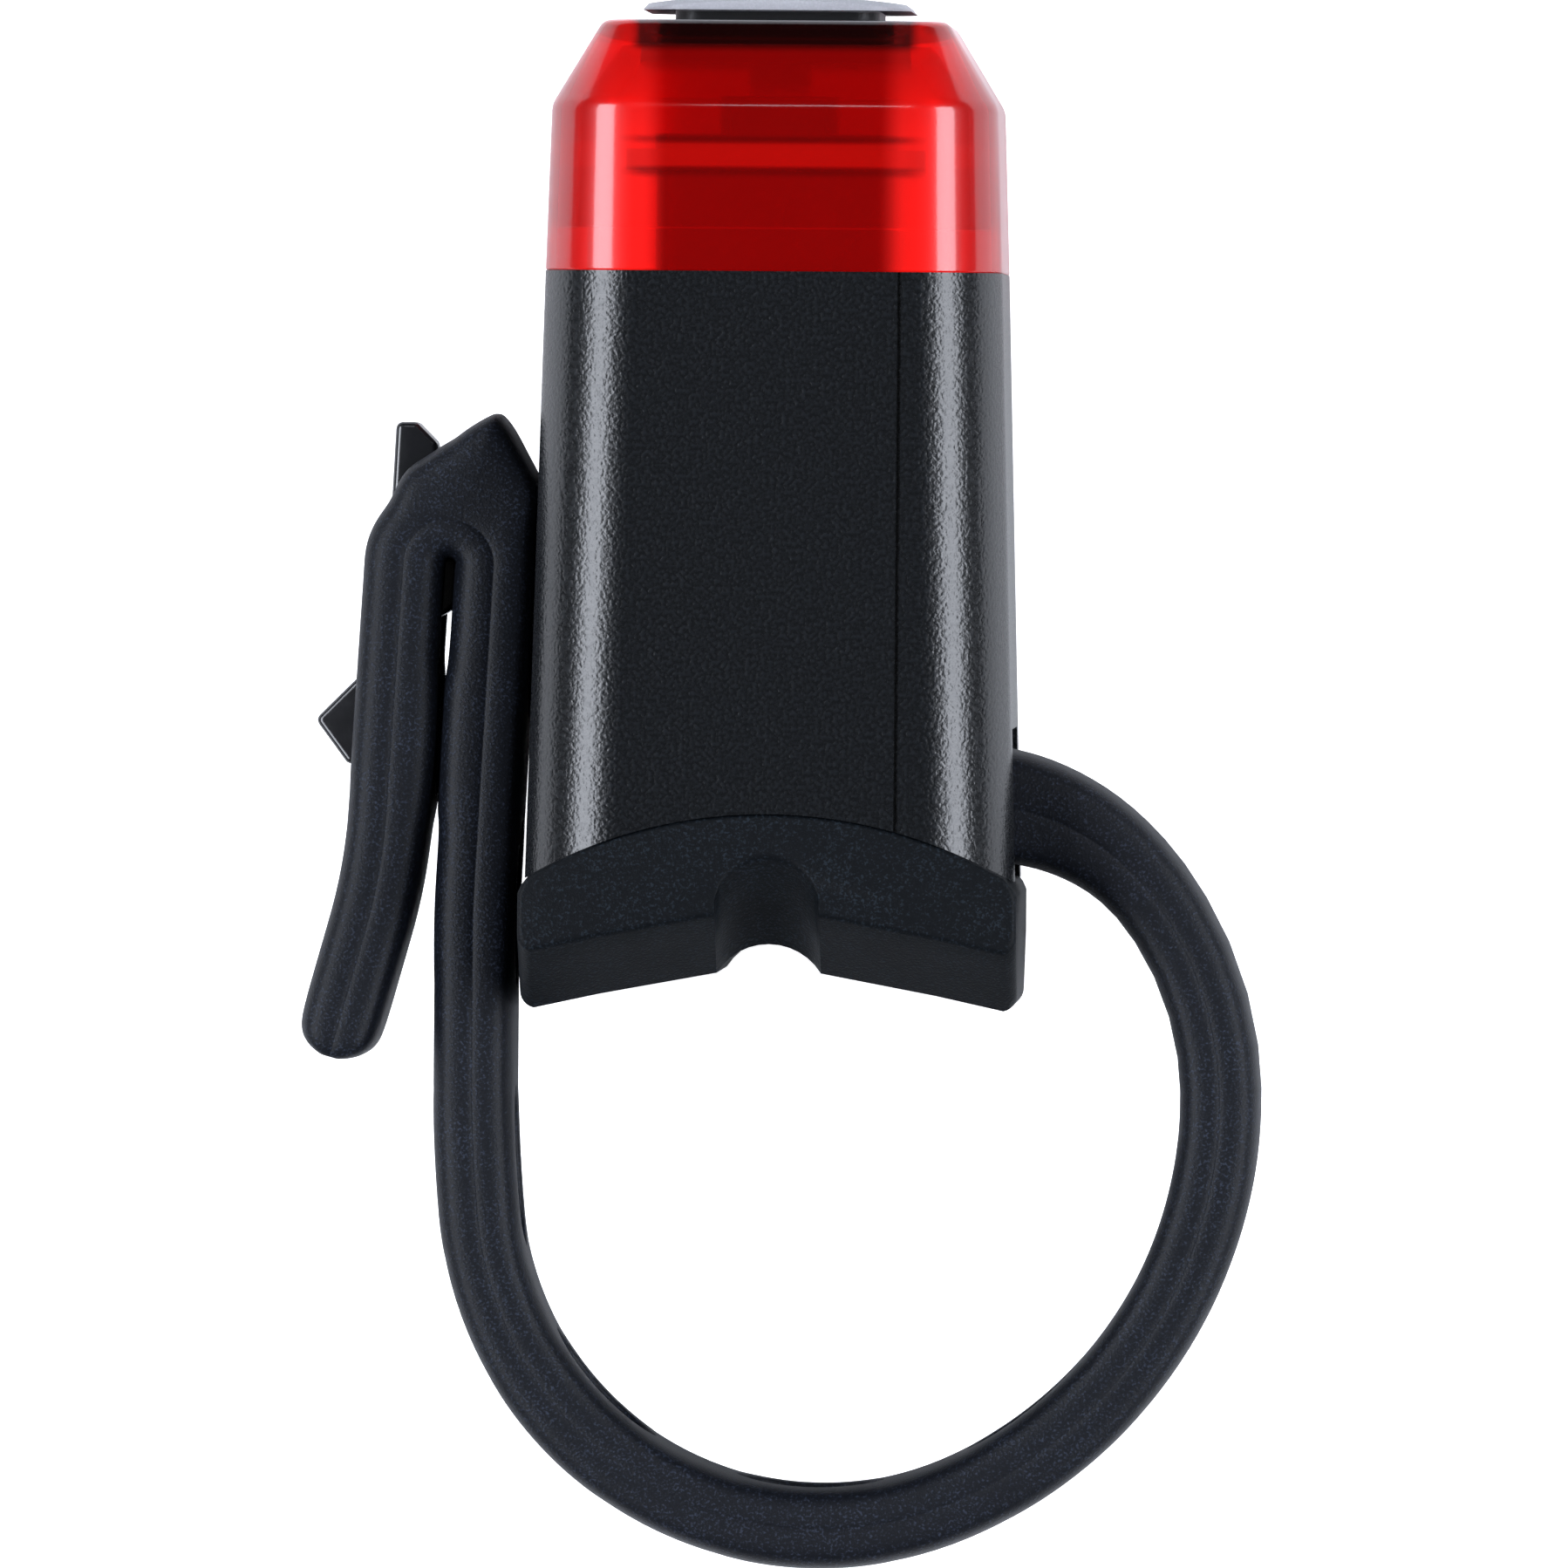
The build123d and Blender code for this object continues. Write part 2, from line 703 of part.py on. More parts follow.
def make_usb_shell():
    shell = extrude(port_section(port_recess, 0), port_depth)
    return shell - extrude(port_section(port_recess, -port_shell_wall), port_depth - port_shell_wall)


def make_usb_tongue():
    low_z = port_recess + tongue_setback
    high_z = port_recess + port_depth - port_shell_wall
    tongue = box_between(
        -tongue_width / 2, tongue_width / 2, usb_port_y - tongue_thickness / 2,
        usb_port_y + tongue_thickness / 2, low_z, high_z)
    return fillet(tongue.edges().filter_by(Axis.Y).group_by(Axis.Z)[0], tongue_thickness)


def make_board_pins():
    pins = []
    z = middle_z - pin_row_drop
    for index in range(pin_count):
        x = (index - (pin_count - 1) / 2) * pin_pitch
        pins.append(box_between(
            x - pin_size / 2, x + pin_size / 2, board_far_y, usb_board_front_y,
            z - pin_size / 2, z + pin_size / 2))
    return Compound(children=pins)


def battery_span():
    far_y = cavity_far_y - foam_thickness
    return far_y - battery_depth, far_y


def make_battery_cell():
    near_y, far_y = battery_span()
    return level_block(near_y, far_y, battery_width, battery_height, battery_corner_radius)


def make_foam_block():
    width, height = battery_width * foam_share, battery_height * foam_share
    return level_block(cavity_far_y - foam_thickness, cavity_far_y, width, height, battery_corner_radius)


def make_battery_lead(side):
    """A lead from the cell's front to the lamp board, past the end of the charging board."""
    near_y, _ = battery_span()
    z = middle_z + battery_height / 2 - lead_inset
    return rod_along_y(side * lead_spacing / 2, z, board_far_y, near_y, lead_radius)


def pad_outline(z, rise, depth):
    """The pad across the seatpost: rise lifts the V towards the lens, depth is the groove's."""
    half = pad_width / 2
    corner_y = pad_corner_y - rise
    vee_y = pad_vee_y - rise
    edge_y = seam_y_at(half)
    slope = (corner_y - vee_y) / (half - groove_half_width)
    side_top = Vector(half, edge_y + pad_side_radius, z)
    corner_side = Vector(half, corner_y - pad_corner_radius, z)
    corner_low = Vector(half - pad_corner_radius, corner_y - slope * pad_corner_radius, z)
    corner_mid = Vector(
        half - pad_corner_radius * (1 - sqrt(1 / 2)), corner_y - pad_corner_radius * (1 - sqrt(1 / 2)), z)
    groove_edge = Vector(groove_half_width, vee_y, z)

    def mirrored(point):
        return Vector(-point.X, point.Y, point.Z)

    arch_top = Vector(0, seam_arch_top_y, z)
    arch_end = Vector(half - pad_side_radius, seam_y_at(half - pad_side_radius), z)
    edges = [
        ThreePointArc(arch_end, arch_top, mirrored(arch_end)),
        Line(mirrored(arch_end), mirrored(side_top)),
        Line(mirrored(side_top), mirrored(corner_side)),
        ThreePointArc(mirrored(corner_side), mirrored(corner_mid), mirrored(corner_low)),
        Line(mirrored(corner_low), mirrored(groove_edge)),
        ThreePointArc(mirrored(groove_edge), Vector(0, vee_y - depth, z), groove_edge),
        Line(groove_edge, corner_low),
        ThreePointArc(corner_low, corner_mid, corner_side),
        Line(corner_side, side_top),
        Line(side_top, arch_end),
    ]
    return Face(Wire(edges))


def make_seatpost_pad():
    full = extrude(
        pad_outline(pad_bevel_length, 0, groove_depth), housing_height - 2 * pad_bevel_length, dir=(0, 0, 1))
    low = loft(
        [pad_outline(0, pad_bevel_rise, groove_end_depth), pad_outline(pad_bevel_length, 0, groove_depth)],
        ruled=True)
    high = loft(
        [pad_outline(housing_height - pad_bevel_length, 0, groove_depth),
         pad_outline(housing_height, pad_bevel_rise, groove_end_depth)], ruled=True)
    pad = full + low + high
    stud_y = seam_arch_top_y - pad_stud_length
    for z in stud_places():
        pad += rod_along_y(0, z, stud_y, seam_arch_top_y + pad_stud_radius, pad_stud_radius)
    return pad


def hook_outline(grow):
    """The hook across the light, grown all round by a clearance."""
    wall_x = housing_width_at(0) / 2
    neck_x = wall_x + hook_neck_reach
    horn_x = wall_x + hook_horn_reach
    nose_x = wall_x + hook_nose_reach
    inner_x = wall_x + hook_inner_reach
    bend = hook_arm_thickness / 3
    points = [
        (wall_x - housing_wall, hook_arm_high_y),
        (wall_x + hook_reach - bend, hook_arm_high_y),
        (neck_x, hook_arm_high_y - bend),
        (horn_x - hook_horn_width, hook_horn_width / 2 - hook_horn_rise),
        (horn_x - hook_horn_width / 2, -hook_horn_rise),
        (horn_x, -hook_horn_rise),
        (horn_x + hook_horn_width / 6, hook_arm_high_y),
        (nose_x - hook_flank, hook_nose_y - hook_flank),
        (nose_x, hook_nose_y),
        (nose_x - hook_flank, hook_foot_y),
        (inner_x + hook_flank, hook_foot_y),
        (inner_x, hook_inner_y),
        (inner_x, hook_arm_low_y + bend),
        (wall_x + hook_reach - bend, hook_arm_low_y),
        (wall_x - housing_wall, hook_arm_low_y),
    ]
    face = make_face(Polyline(*points, close=True))
    if grow > 0:
        face = offset(face, grow)
    return face


def make_strap_hook():
    half = hook_width / 2
    hook = upright(hook_outline(0), middle_z - half, middle_z + half)
    inner_x = housing_front_width / 2 - housing_wall - housing_ledge
    wall_x = housing_width_at(0) / 2
    arm = box_between(
        inner_x, wall_x, hook_arm_high_y, hook_arm_low_y, middle_z - half, middle_z + half)
    flange = box_between(
        inner_x - hook_flange_thickness, inner_x,
        hook_arm_high_y - hook_flange_overlap, hook_arm_low_y + hook_flange_overlap,
        middle_z - half - hook_flange_overlap, middle_z + half + hook_flange_overlap)
    edges = hook.edges().filter_by(Axis.Z, reverse=True).filter_by(lambda edge: edge.center().X > wall_x)
    hook = fillet(edges, hook_edge_radius)
    return hook + arm + flange


def strap_section(x, y, heading, thickness):
    """The band's cross-section: thickness across its run, width along Z."""
    run = Vector(-cos(radians(heading)), sin(radians(heading)), 0)
    across = Vector(sin(radians(heading)), cos(radians(heading)), 0)
    plane = Plane(origin=(x, y, middle_z), x_dir=across, z_dir=run)
    outline = Rectangle(thickness, strap_width)
    return plane * chamfer(outline.vertices(), strap_edge_chamfer)


def bend_centre(x, y, heading, radius, turn):
    reach = radius if turn > 0 else -radius
    return x + reach * sin(radians(heading)), y + reach * cos(radians(heading))


def strap_root_bend(stretch, after):
    """The first bend, which thins from the root to the band."""
    _, size, turn, x, y, heading, _ = stretch
    middle = Vector(*point_on_bend(x, y, heading, size, turn / 2), middle_z)
    path = ThreePointArc(Vector(x, y, middle_z), middle, Vector(after[3], after[4], middle_z))
    start = strap_section(x, y, heading, strap_root_thickness)
    end = strap_section(after[3], after[4], after[5], strap_thickness)
    return sweep(sections=[start, end], path=path, multisection=True)


def strap_stretch(stretch):
    """A straight run, or a bend turned about its centre."""
    kind, size, turn, x, y, heading, _ = stretch
    section = strap_section(x, y, heading, strap_thickness)
    if kind == "run":
        return extrude(section, size)
    centre = bend_centre(x, y, heading, size, turn)
    way = -1 if turn > 0 else 1
    return revolve(section, Axis((*centre, 0), (0, 0, way)), abs(turn))


def make_strap():
    stretches = walk_strap()
    band = strap_root_bend(stretches[0], stretches[1])
    for stretch in stretches[1:-1]:
        band += strap_stretch(stretch)

    low_z, high_z = middle_z - strap_width / 2, middle_z + strap_width / 2
    tail = rod_along_z(stretches[-1][3], stretches[-1][4], low_z, high_z, strap_thickness / 2)
    band += chamfer(tail.edges().filter_by(GeomType.CIRCLE), strap_edge_chamfer)

    # The eye round the pin, and the neck from it to the band
    heading = radians(strap_start_heading)
    half = strap_root_thickness / 2
    neck = Polyline(
        (eye_x, eye_y - eye_radius),
        (strap_start_x - half * sin(heading), strap_start_y - half * cos(heading)),
        (strap_start_x + half * sin(heading), strap_start_y + half * cos(heading)),
        (eye_x, eye_y + eye_radius), close=True)
    root = upright(make_face(neck), low_z, high_z)
    root += rod_along_z(eye_x, eye_y, low_z, high_z, eye_radius)
    band += root
    band -= rod_along_z(eye_x, eye_y, low_z - overrun, high_z + overrun, strap_pin_radius + seat_gap)

    # Rubber stands up in a ridge where the band is pulled over the hook
    fold_x, fold_y = strap_fold_centre()
    band += upright(ridge_outline(fold_x, fold_y), low_z + ridge_inset, high_z - ridge_inset)

    # Oval slots, and the two that the hook passes through
    hooked = stretches[8][6] + slot_width / 6 - hook_slot_length / 2
    for index in range(slot_count):
        band -= strap_slot(hooked - (index + 1) * slot_pitch, slot_length)
    band -= strap_slot(hooked, hook_slot_length)
    reach = hook_foot_y + slot_width / 3
    band -= box_between(
        fold_x, housing_rear_width / 2 + hook_nose_reach, -hook_horn_rise - overrun, reach,
        middle_z - slot_width / 2, middle_z + slot_width / 2)
    band -= upright(hook_outline(seat_gap), middle_z - slot_width / 2, middle_z + slot_width / 2)
    return band


def ridge_outline(fold_x, fold_y):
    """The ridge over the fold: a steep flank beside the housing and a long one over the hook's horn."""
    half = strap_thickness / 2
    outer = fold_radius + half
    far_reach = outer * ridge_far_share
    ridge = Polyline(
        (fold_x - half, fold_y),
        (fold_x - outer, fold_y),
        (fold_x - outer, fold_y - outer + ridge_shoulder),
        (fold_x - ridge_lean, fold_y - outer - ridge_rise),
        (fold_x + far_reach, fold_y - far_reach - ridge_shoulder),
        (fold_x + outer, fold_y),
        (fold_x + half, fold_y),
        (fold_x, fold_y - half), close=True)
    face = make_face(ridge)
    return fillet(face.vertices().sort_by(Axis.Y)[0], ridge_radius)


def strap_fold_centre():
    _, size, turn, x, y, heading, _ = walk_strap()[8]
    return bend_centre(x, y, heading, size, turn)


def strap_slot(distance, length):
    x, y, heading = strap_place(distance)
    run = Vector(-cos(radians(heading)), sin(radians(heading)), 0)
    across = Vector(sin(radians(heading)), cos(radians(heading)), 0)
    reach = strap_thickness
    plane = Plane(origin=Vector(x, y, middle_z) - across * reach, x_dir=run, z_dir=across)
    return extrude(plane * SlotOverall(length, slot_width), 2 * reach)


def make_strap_pin():
    pin = rod_along_z(eye_x, eye_y, strap_pin_inset, strap_pin_inset + strap_pin_length, strap_pin_radius)
    return chamfer(pin.edges().filter_by(GeomType.CIRCLE), strap_pin_radius / 6)


def make_port_flap():
    hinge_x, free_x = flap_edges()
    near_y, far_y = usb_port_y - flap_width / 2, usb_port_y + flap_width / 2
    plate = box_between(hinge_x, free_x, near_y, far_y, flap_sunk, flap_sunk + flap_thickness)
    plate = fillet(plate.edges().filter_by(Axis.Z).group_by(Axis.X)[-1], flap_corner_radius)
    plane = Plane(
        origin=(hinge_x, near_y, flap_sunk + flap_bead_radius), x_dir=(1, 0, 0), z_dir=(0, 1, 0))
    bead = extrude(plane * Circle(flap_bead_radius), flap_width)
    plug = extrude(port_section(flap_sunk + flap_thickness, port_hole_gap - flap_plug_gap), flap_plug_depth)
    return plate + bead + plug


pieces = {
    "housing": make_housing,
    "lens": make_lens,
    "lens_gasket": make_lens_gasket,
    "button_collar": make_button_collar,
    "power_button": make_power_button,
    "switch_body": make_switch_body,
    "switch_plunger": make_switch_plunger,
    "switch_board": make_switch_board,
    "light_tower": make_light_tower,
    "lamp_board": make_lamp_board,
    "lamps": make_lamps,
    "charge_chip": make_charge_chip,
    "board_screws": make_board_screws,
    "usb_board": make_usb_board,
    "usb_shell": make_usb_shell,
    "usb_tongue": make_usb_tongue,
    "board_pins": make_board_pins,
    "battery_cell": make_battery_cell,
    "foam_block": make_foam_block,
    "battery_lead_red": lambda: make_battery_lead(1),
    "battery_lead_black": lambda: make_battery_lead(-1),
    "seatpost_pad": make_seatpost_pad,
    "strap": make_strap,
    "strap_pin": make_strap_pin,
    "strap_hook": make_strap_hook,
    "port_flap": make_port_flap,
}

for name, make in pieces.items():
    shape = make()
    export_step(shape, f"parts/{name}.step")
    print(name, len(shape.solids()), "solids", round(shape.volume), "cubic mm")
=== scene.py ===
# %% [markdown]
# # A bicycle rear light on its rubber strap
# The light hangs on a seatpost by a slotted band. The construction is fixed already: every rigid piece
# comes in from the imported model, in metres, and this lesson gives the light its looks. Soft pieces and the
# pieces whose smooth curves carry the highlights are modelled again here, in the same places.

# %% Load the frame
import json
from math import asin, cos, pi, radians, sin, sqrt

import bmesh
import bpy
from mathutils import Matrix, Vector


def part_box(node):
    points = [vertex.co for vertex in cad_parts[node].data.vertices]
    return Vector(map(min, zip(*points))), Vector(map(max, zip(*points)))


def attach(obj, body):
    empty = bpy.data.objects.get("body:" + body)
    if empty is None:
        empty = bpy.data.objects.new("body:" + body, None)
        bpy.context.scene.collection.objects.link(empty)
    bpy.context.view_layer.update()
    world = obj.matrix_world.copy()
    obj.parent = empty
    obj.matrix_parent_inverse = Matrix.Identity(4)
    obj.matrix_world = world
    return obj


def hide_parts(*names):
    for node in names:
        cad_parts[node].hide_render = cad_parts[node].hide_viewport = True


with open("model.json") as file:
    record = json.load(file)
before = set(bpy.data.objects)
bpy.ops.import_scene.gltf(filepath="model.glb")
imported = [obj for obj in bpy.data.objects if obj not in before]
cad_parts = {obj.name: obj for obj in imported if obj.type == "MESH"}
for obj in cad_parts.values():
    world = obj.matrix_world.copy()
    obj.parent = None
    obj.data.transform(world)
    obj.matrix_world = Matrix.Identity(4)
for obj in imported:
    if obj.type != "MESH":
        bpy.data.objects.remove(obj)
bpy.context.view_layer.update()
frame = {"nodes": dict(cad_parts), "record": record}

print("nodes:", len(frame["nodes"]))

# %% [markdown]
# ## Sizes
# The sizes are written in millimetres, as on a drawing, and one factor turns them into metres. They are the
# sizes of the solids, so a new surface lies where the solid's surface lies. Z runs along the seatpost, and
# the lens faces -Y.

# %% Sizes of the light
mm = 0.001
middle_z = 14.0
light_height = 28.0
seam_y = -15.7
seam_width = 23.65
rear_y = 16.2
rear_width = 25.35
corner_radius = 4.7
arch_radius = 24.9
arch_top_y = 12.3
arch_centre_y = arch_top_y + arch_radius
plate_back_y = -29.27
print("the light is", light_height, "mm high and", rear_width, "mm wide at the seatpost")

# %% [markdown]
# ## Shader sums
# Procedural finishes are sums of textures. Wiring each Math node by hand hides the idea, so one small class
# wraps a socket, and plus, minus and times on it add the nodes. Every other node comes from one method.

# %% Wrap sockets for shader maths
# The places of the Mix node's colour sockets, which share their names with its other sockets
mix_low, mix_high, mix_result = 6, 7, 2


class Wire:
    """A socket of a material, used in sums as if it were a number."""

    def __init__(self, finish, socket):
        self.finish = finish
        self.socket = socket

    def sum(self, operation, first, second):
        return self.finish.node("ShaderNodeMath", {"operation": operation}, {0: first, 1: second})

    def __add__(self, other):
        return self.sum("ADD", self, other)

    def __radd__(self, other):
        return self.sum("ADD", other, self)

    def __sub__(self, other):
        return self.sum("SUBTRACT", self, other)

    def __rsub__(self, other):
        return self.sum("SUBTRACT", other, self)

    def __mul__(self, other):
        return self.sum("MULTIPLY", self, other)

    def __rmul__(self, other):
        return self.sum("MULTIPLY", other, self)


class Finish:
    """A material under construction, with its Principled shader ready."""

    def __init__(self, name):
        self.material = bpy.data.materials.new(name)
        self.material.use_nodes = True
        self.tree = self.material.node_tree
        self.shader = self.tree.nodes["Principled BSDF"]
        self.place = self.node("ShaderNodeTexCoord", {}, {}, "Object")

    def node(self, kind, settings, inputs, output=0):
        """Adds a node, sets it up, joins or fills its sockets, and returns one of its outputs."""
        made = self.tree.nodes.new(kind)
        for name, value in settings.items():
            if name == "stops":
                self.set_stops(made.color_ramp, value)
            else:
                setattr(made, name, value)
        for key, value in inputs.items():
            self.feed(made.inputs[key], value)
        return Wire(self, made.outputs[output])

    def set_stops(self, ramp, stops):
        while len(ramp.elements) < len(stops):
            ramp.elements.new(1.0)
        for element, (position, colour) in zip(ramp.elements, stops):
            element.position = position
            element.color = colour

    def feed(self, socket, value):
        if isinstance(value, Wire):
            self.tree.links.new(value.socket, socket)
        else:
            socket.default_value = value

    def set(self, **values):
        """Fills the shader's own sockets; an underscore in a name stands for a space."""
        for name, value in values.items():
            self.feed(self.shader.inputs[name.replace("_", " ")], value)
        return self.material

    def coordinate(self, axis):
        """The place along one axis."""
        return self.node("ShaderNodeSeparateXYZ", {}, {"Vector": self.place}, axis)

    def ramp(self, value, start, end):
        """Turns a length, from start to end millimetres, softly into 0 to 1."""
        return self.node(
            "ShaderNodeMapRange", {"interpolation_type": "SMOOTHSTEP"},
            {"Value": value, "From Min": start * mm, "From Max": end * mm})

    def noise(self, size, detail=2.0, roughness=0.5):
        """Cloudy values from 0 to 1 whose spots are about size millimetres wide."""
        return self.node(
            "ShaderNodeTexNoise", {},
            {"Vector": self.place, "Scale": 1 / (size * mm), "Detail": detail, "Roughness": roughness}, "Fac")

    def cells(self, size):
        """The distance to the nearest of many scattered points, about size millimetres apart."""
        return self.node(
            "ShaderNodeTexVoronoi", {}, {"Vector": self.place, "Scale": 1 / (size * mm)}, "Distance")

    def blend(self, factor, low, high):
        """A colour between low and high."""
        return self.node(
            "ShaderNodeMix", {"data_type": "RGBA"}, {"Factor": factor, mix_low: low, mix_high: high},
            mix_result)

    def bump(self, height, depth):
        """Relief of about depth millimetres, from a height between 0 and 1."""
        return self.node("ShaderNodeBump", {}, {"Height": height, "Distance": depth * mm})


def shade(red, green, blue):
    """A colour with full alpha, in linear light."""
    return (red, green, blue, 1.0)


def toned(colour, share):
    """The colour made lighter or darker by a share."""
    return shade(*[part * share for part in colour])


print("shader helpers ready")

# %% [markdown]
# ## Surfaces from loops
# Nearly every moulded piece here is a closed outline that is carried along a line and shrinks a little at
# both ends, where the mould's edge is rounded. So one function joins equal loops into a skin, one rounds the
# corners of an outline, and one moves an outline inwards. A drawing program does the same with its sweeps.

# %% Outlines and skins
corner_steps = 8
edge_steps = 4
longest_corner_share = 0.45
least_tangent = 0.01


def arc(centre, radius, start, end, steps):
    """Points on an arc, from the start angle to the end angle in degrees."""
    angles = [radians(start + (end - start) * i / steps) for i in range(steps + 1)]
    return [(centre[0] + radius * cos(a), centre[1] + radius * sin(a)) for a in angles]


def round_corners(points, radii):
    """The outline with an arc at each corner, as large as its radius and its two edges allow."""
    if isinstance(radii, float):
        radii = [radii] * len(points)
    outline = []
    corners = zip(points[-1:] + points[:-1], points, points[1:] + points[:1], radii)
    for before, corner, after, radius in corners:
        to_before = Vector(before) - Vector(corner)
        to_after = Vector(after) - Vector(corner)
        half = to_before.angle(to_after) / 2
        shorter = min(to_before.length, to_after.length)
        reach = min(radius / max(least_tangent, sin(half) / cos(half)), longest_corner_share * shorter)
        first = Vector(corner) + to_before.normalized() * reach
        last = Vector(corner) + to_after.normalized() * reach
        for i in range(corner_steps + 1):
            share = i / corner_steps
            bend = first.lerp(Vector(corner), share).lerp(Vector(corner).lerp(last, share), share)
            outline.append(tuple(bend))
    return outline


def rounded_box(width, height, radius):
    """The outline of a rectangle about the origin with round corners."""
    x, y = width / 2 - radius, height / 2 - radius
    corners = ((x, y, 0), (-x, y, 90), (-x, -y, 180), (x, -y, 270))
    return [p for cx, cy, turn in corners for p in arc((cx, cy), radius, turn, turn + 90, corner_steps)]


def shrunk(points, inset):
    """The outline moved inwards; it runs anticlockwise."""
    moved = []
    for before, here, after in zip(points[-1:] + points[:-1], points, points[1:] + points[:1]):
        way = (Vector(after) - Vector(before)).normalized()
        moved.append((here[0] - way.y * inset, here[1] + way.x * inset))
    return moved


def edge_profile(low, high, radius):
    """How far in and how far along each loop lies, so that both rims of a block are rounded."""
    turns = [radians(90 * i / edge_steps) for i in range(edge_steps + 1)]
    start = [(radius * (1 - sin(a)), low + radius * (1 - cos(a))) for a in turns]
    return start + [(inset, high + low - place) for inset, place in reversed(start)]


def skin(loops, closed=False):
    """A mesh of quads between equal loops; open ends get a cap, and closed makes a ring of it."""
    mesh = bmesh.new()
    rings = [[mesh.verts.new(Vector(p) * mm) for p in loop] for loop in loops]
    pairs = list(zip(rings, rings[1:]))
    if closed:
        pairs.append((rings[-1], rings[0]))
    for near, far in pairs:
        for i in range(len(near)):
            j = (i + 1) % len(near)
            mesh.faces.new((near[i], near[j], far[j], far[i]))
    if not closed:
        mesh.faces.new(rings[0])
        mesh.faces.new(rings[-1])
    return mesh


def joined(meshes):
    """Several closed meshes as one, each with its normals turned outwards."""
    whole = bmesh.new()
    for mesh in meshes:
        bmesh.ops.recalc_face_normals(mesh, faces=mesh.faces)
        holder = bpy.data.meshes.new("part")
        mesh.to_mesh(holder)
        mesh.free()
        whole.from_mesh(holder)
        bpy.data.meshes.remove(holder)
    return whole


def finish_mesh(mesh, name, sharp_angle=38):
    """Turns the normals outwards, smooths what isn't a sharp edge, and makes the object."""
    bmesh.ops.recalc_face_normals(mesh, faces=mesh.faces)
    data = bpy.data.meshes.new(name)
    mesh.to_mesh(data)
    mesh.free()
    data.shade_smooth()
    data.set_sharp_from_angle(angle=radians(sharp_angle))
    piece = bpy.data.objects.new(name, data)
    bpy.context.collection.objects.link(piece)
    return piece


def stands_in(piece, node, finish):
    """The piece takes a node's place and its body."""
    piece.data.materials.clear()
    piece.data.materials.append(finish)
    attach(piece, body_of_node[node])
    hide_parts(node)
    return piece


def upright(outline, low, high, radius):
    """Loops of an X and Y outline that is carried along Z."""
    return [[(x, y, z) for x, y in shrunk(outline, inset)] for inset, z in edge_profile(low, high, radius)]


def facing(outline, near_y, far_y, radius):
    """Loops of an outline in X and Z, about the light's middle, that is carried along Y."""
    levels = edge_profile(near_y, far_y, radius)
    return [[(x, y, middle_z + z) for x, z in shrunk(outline, inset)] for inset, y in levels]


record = frame["record"]
slot_of_node = {part["node"]: part["material_slot"] for part in record["subparts"]}
body_of_node = {node: body for body, nodes in record["behaviour"]["bodies"].items() for node in nodes}

# %% [markdown]
# ## Finishes
# Each finish is a Principled shader with small differences in tone, gloss and relief, from noise or cells
# on Object coordinates, so nothing slides when a piece moves. The housing's grain is the mark that spark
# erosion leaves in the mould, about 0.2 mm wide. The rubbers are matter and a little bluer than the plastic.
# The button's stem has painted shade behind its plate, and the lens has a painted glow; both are set by
# place along an axis, on Object coordinates too.

# %% Plastics
cloud_to_grain = 30
fleck_start, fleck_end = 0.45, 0.75
darkest_share, palest_share, shadow_share = 0.9, 1.12, 0.06
shadow_run = 0.1


def grained_plastic(
        name, colour, grain, depth, gloss, shine=0.5, fleck=1.2, octaves=3.0, painted_shade_from=None):
    """Moulded plastic: grain and relief in millimetres, gloss as the lowest and highest roughness, painted
    shade behind a given depth.
    """
    finish = Finish(name)
    fine = finish.noise(grain, detail=octaves, roughness=0.6)
    cloud = finish.noise(grain * cloud_to_grain)
    pale = finish.node(
        "ShaderNodeMapRange", {}, {"Value": fine, "From Min": fleck_start, "From Max": fleck_end})
    tone = finish.blend(cloud, toned(colour, darkest_share), toned(colour, palest_share))
    tone = finish.blend(pale, tone, toned(colour, fleck))
    # Painted shade: past the given depth along Y the colour falls to a small share of itself, as shade behind
    # a part
    if painted_shade_from is not None:
        behind = finish.ramp(finish.coordinate("Y"), painted_shade_from, painted_shade_from + shadow_run)
        tone = finish.blend(behind, tone, toned(colour, shadow_share))
    smoothest, roughest = gloss
    return finish.set(
        Base_Color=tone, Roughness=smoothest + (roughest - smoothest) * fine, Specular_IOR_Level=shine,
        Normal=finish.bump(fine, depth))


housing_plastic = grained_plastic(
    "housing_plastic", (0.0012, 0.0018, 0.0026), grain=0.2, depth=0.029, gloss=(0.22, 0.33), shine=0.68,
    fleck=2.6, octaves=0.8)
hook_plastic = grained_plastic(
    "hook_plastic", (0.01, 0.0105, 0.012), grain=1.5, depth=0.01, gloss=(0.16, 0.28), shine=0.8)
# The button's stem behind its plate gets painted shade, much darker than the plate
button_plastic = grained_plastic(
    "button_plastic", (0.38, 0.385, 0.415), grain=0.12, depth=0.02, gloss=(0.38, 0.5),
    painted_shade_from=plate_back_y)
tower_plastic = grained_plastic(
    "tower_plastic", (0.09, 0.07, 0.07), grain=0.5, depth=0.01, gloss=(0.3, 0.42))
switch_plastic = grained_plastic(
    "switch_plastic", (0.02, 0.02, 0.02), grain=0.3, depth=0.01, gloss=(0.35, 0.5))
plunger_plastic = grained_plastic(
    "plunger_plastic", (0.5, 0.47, 0.4), grain=0.3, depth=0.01, gloss=(0.3, 0.45))
chip_resin = grained_plastic(
    "chip_resin", (0.014, 0.014, 0.015), grain=0.2, depth=0.01, gloss=(0.45, 0.6))
print("seven plastics ready")

# %% [markdown]
# Rubber has a fine speckle of bloom: pale specks that come and go with a larger cloud.

# %% Rubbers
speck_size, bloom_size = 0.15, 2.6
speck_start, speck_end = 0.54, 0.7
rubber_relief = 0.03


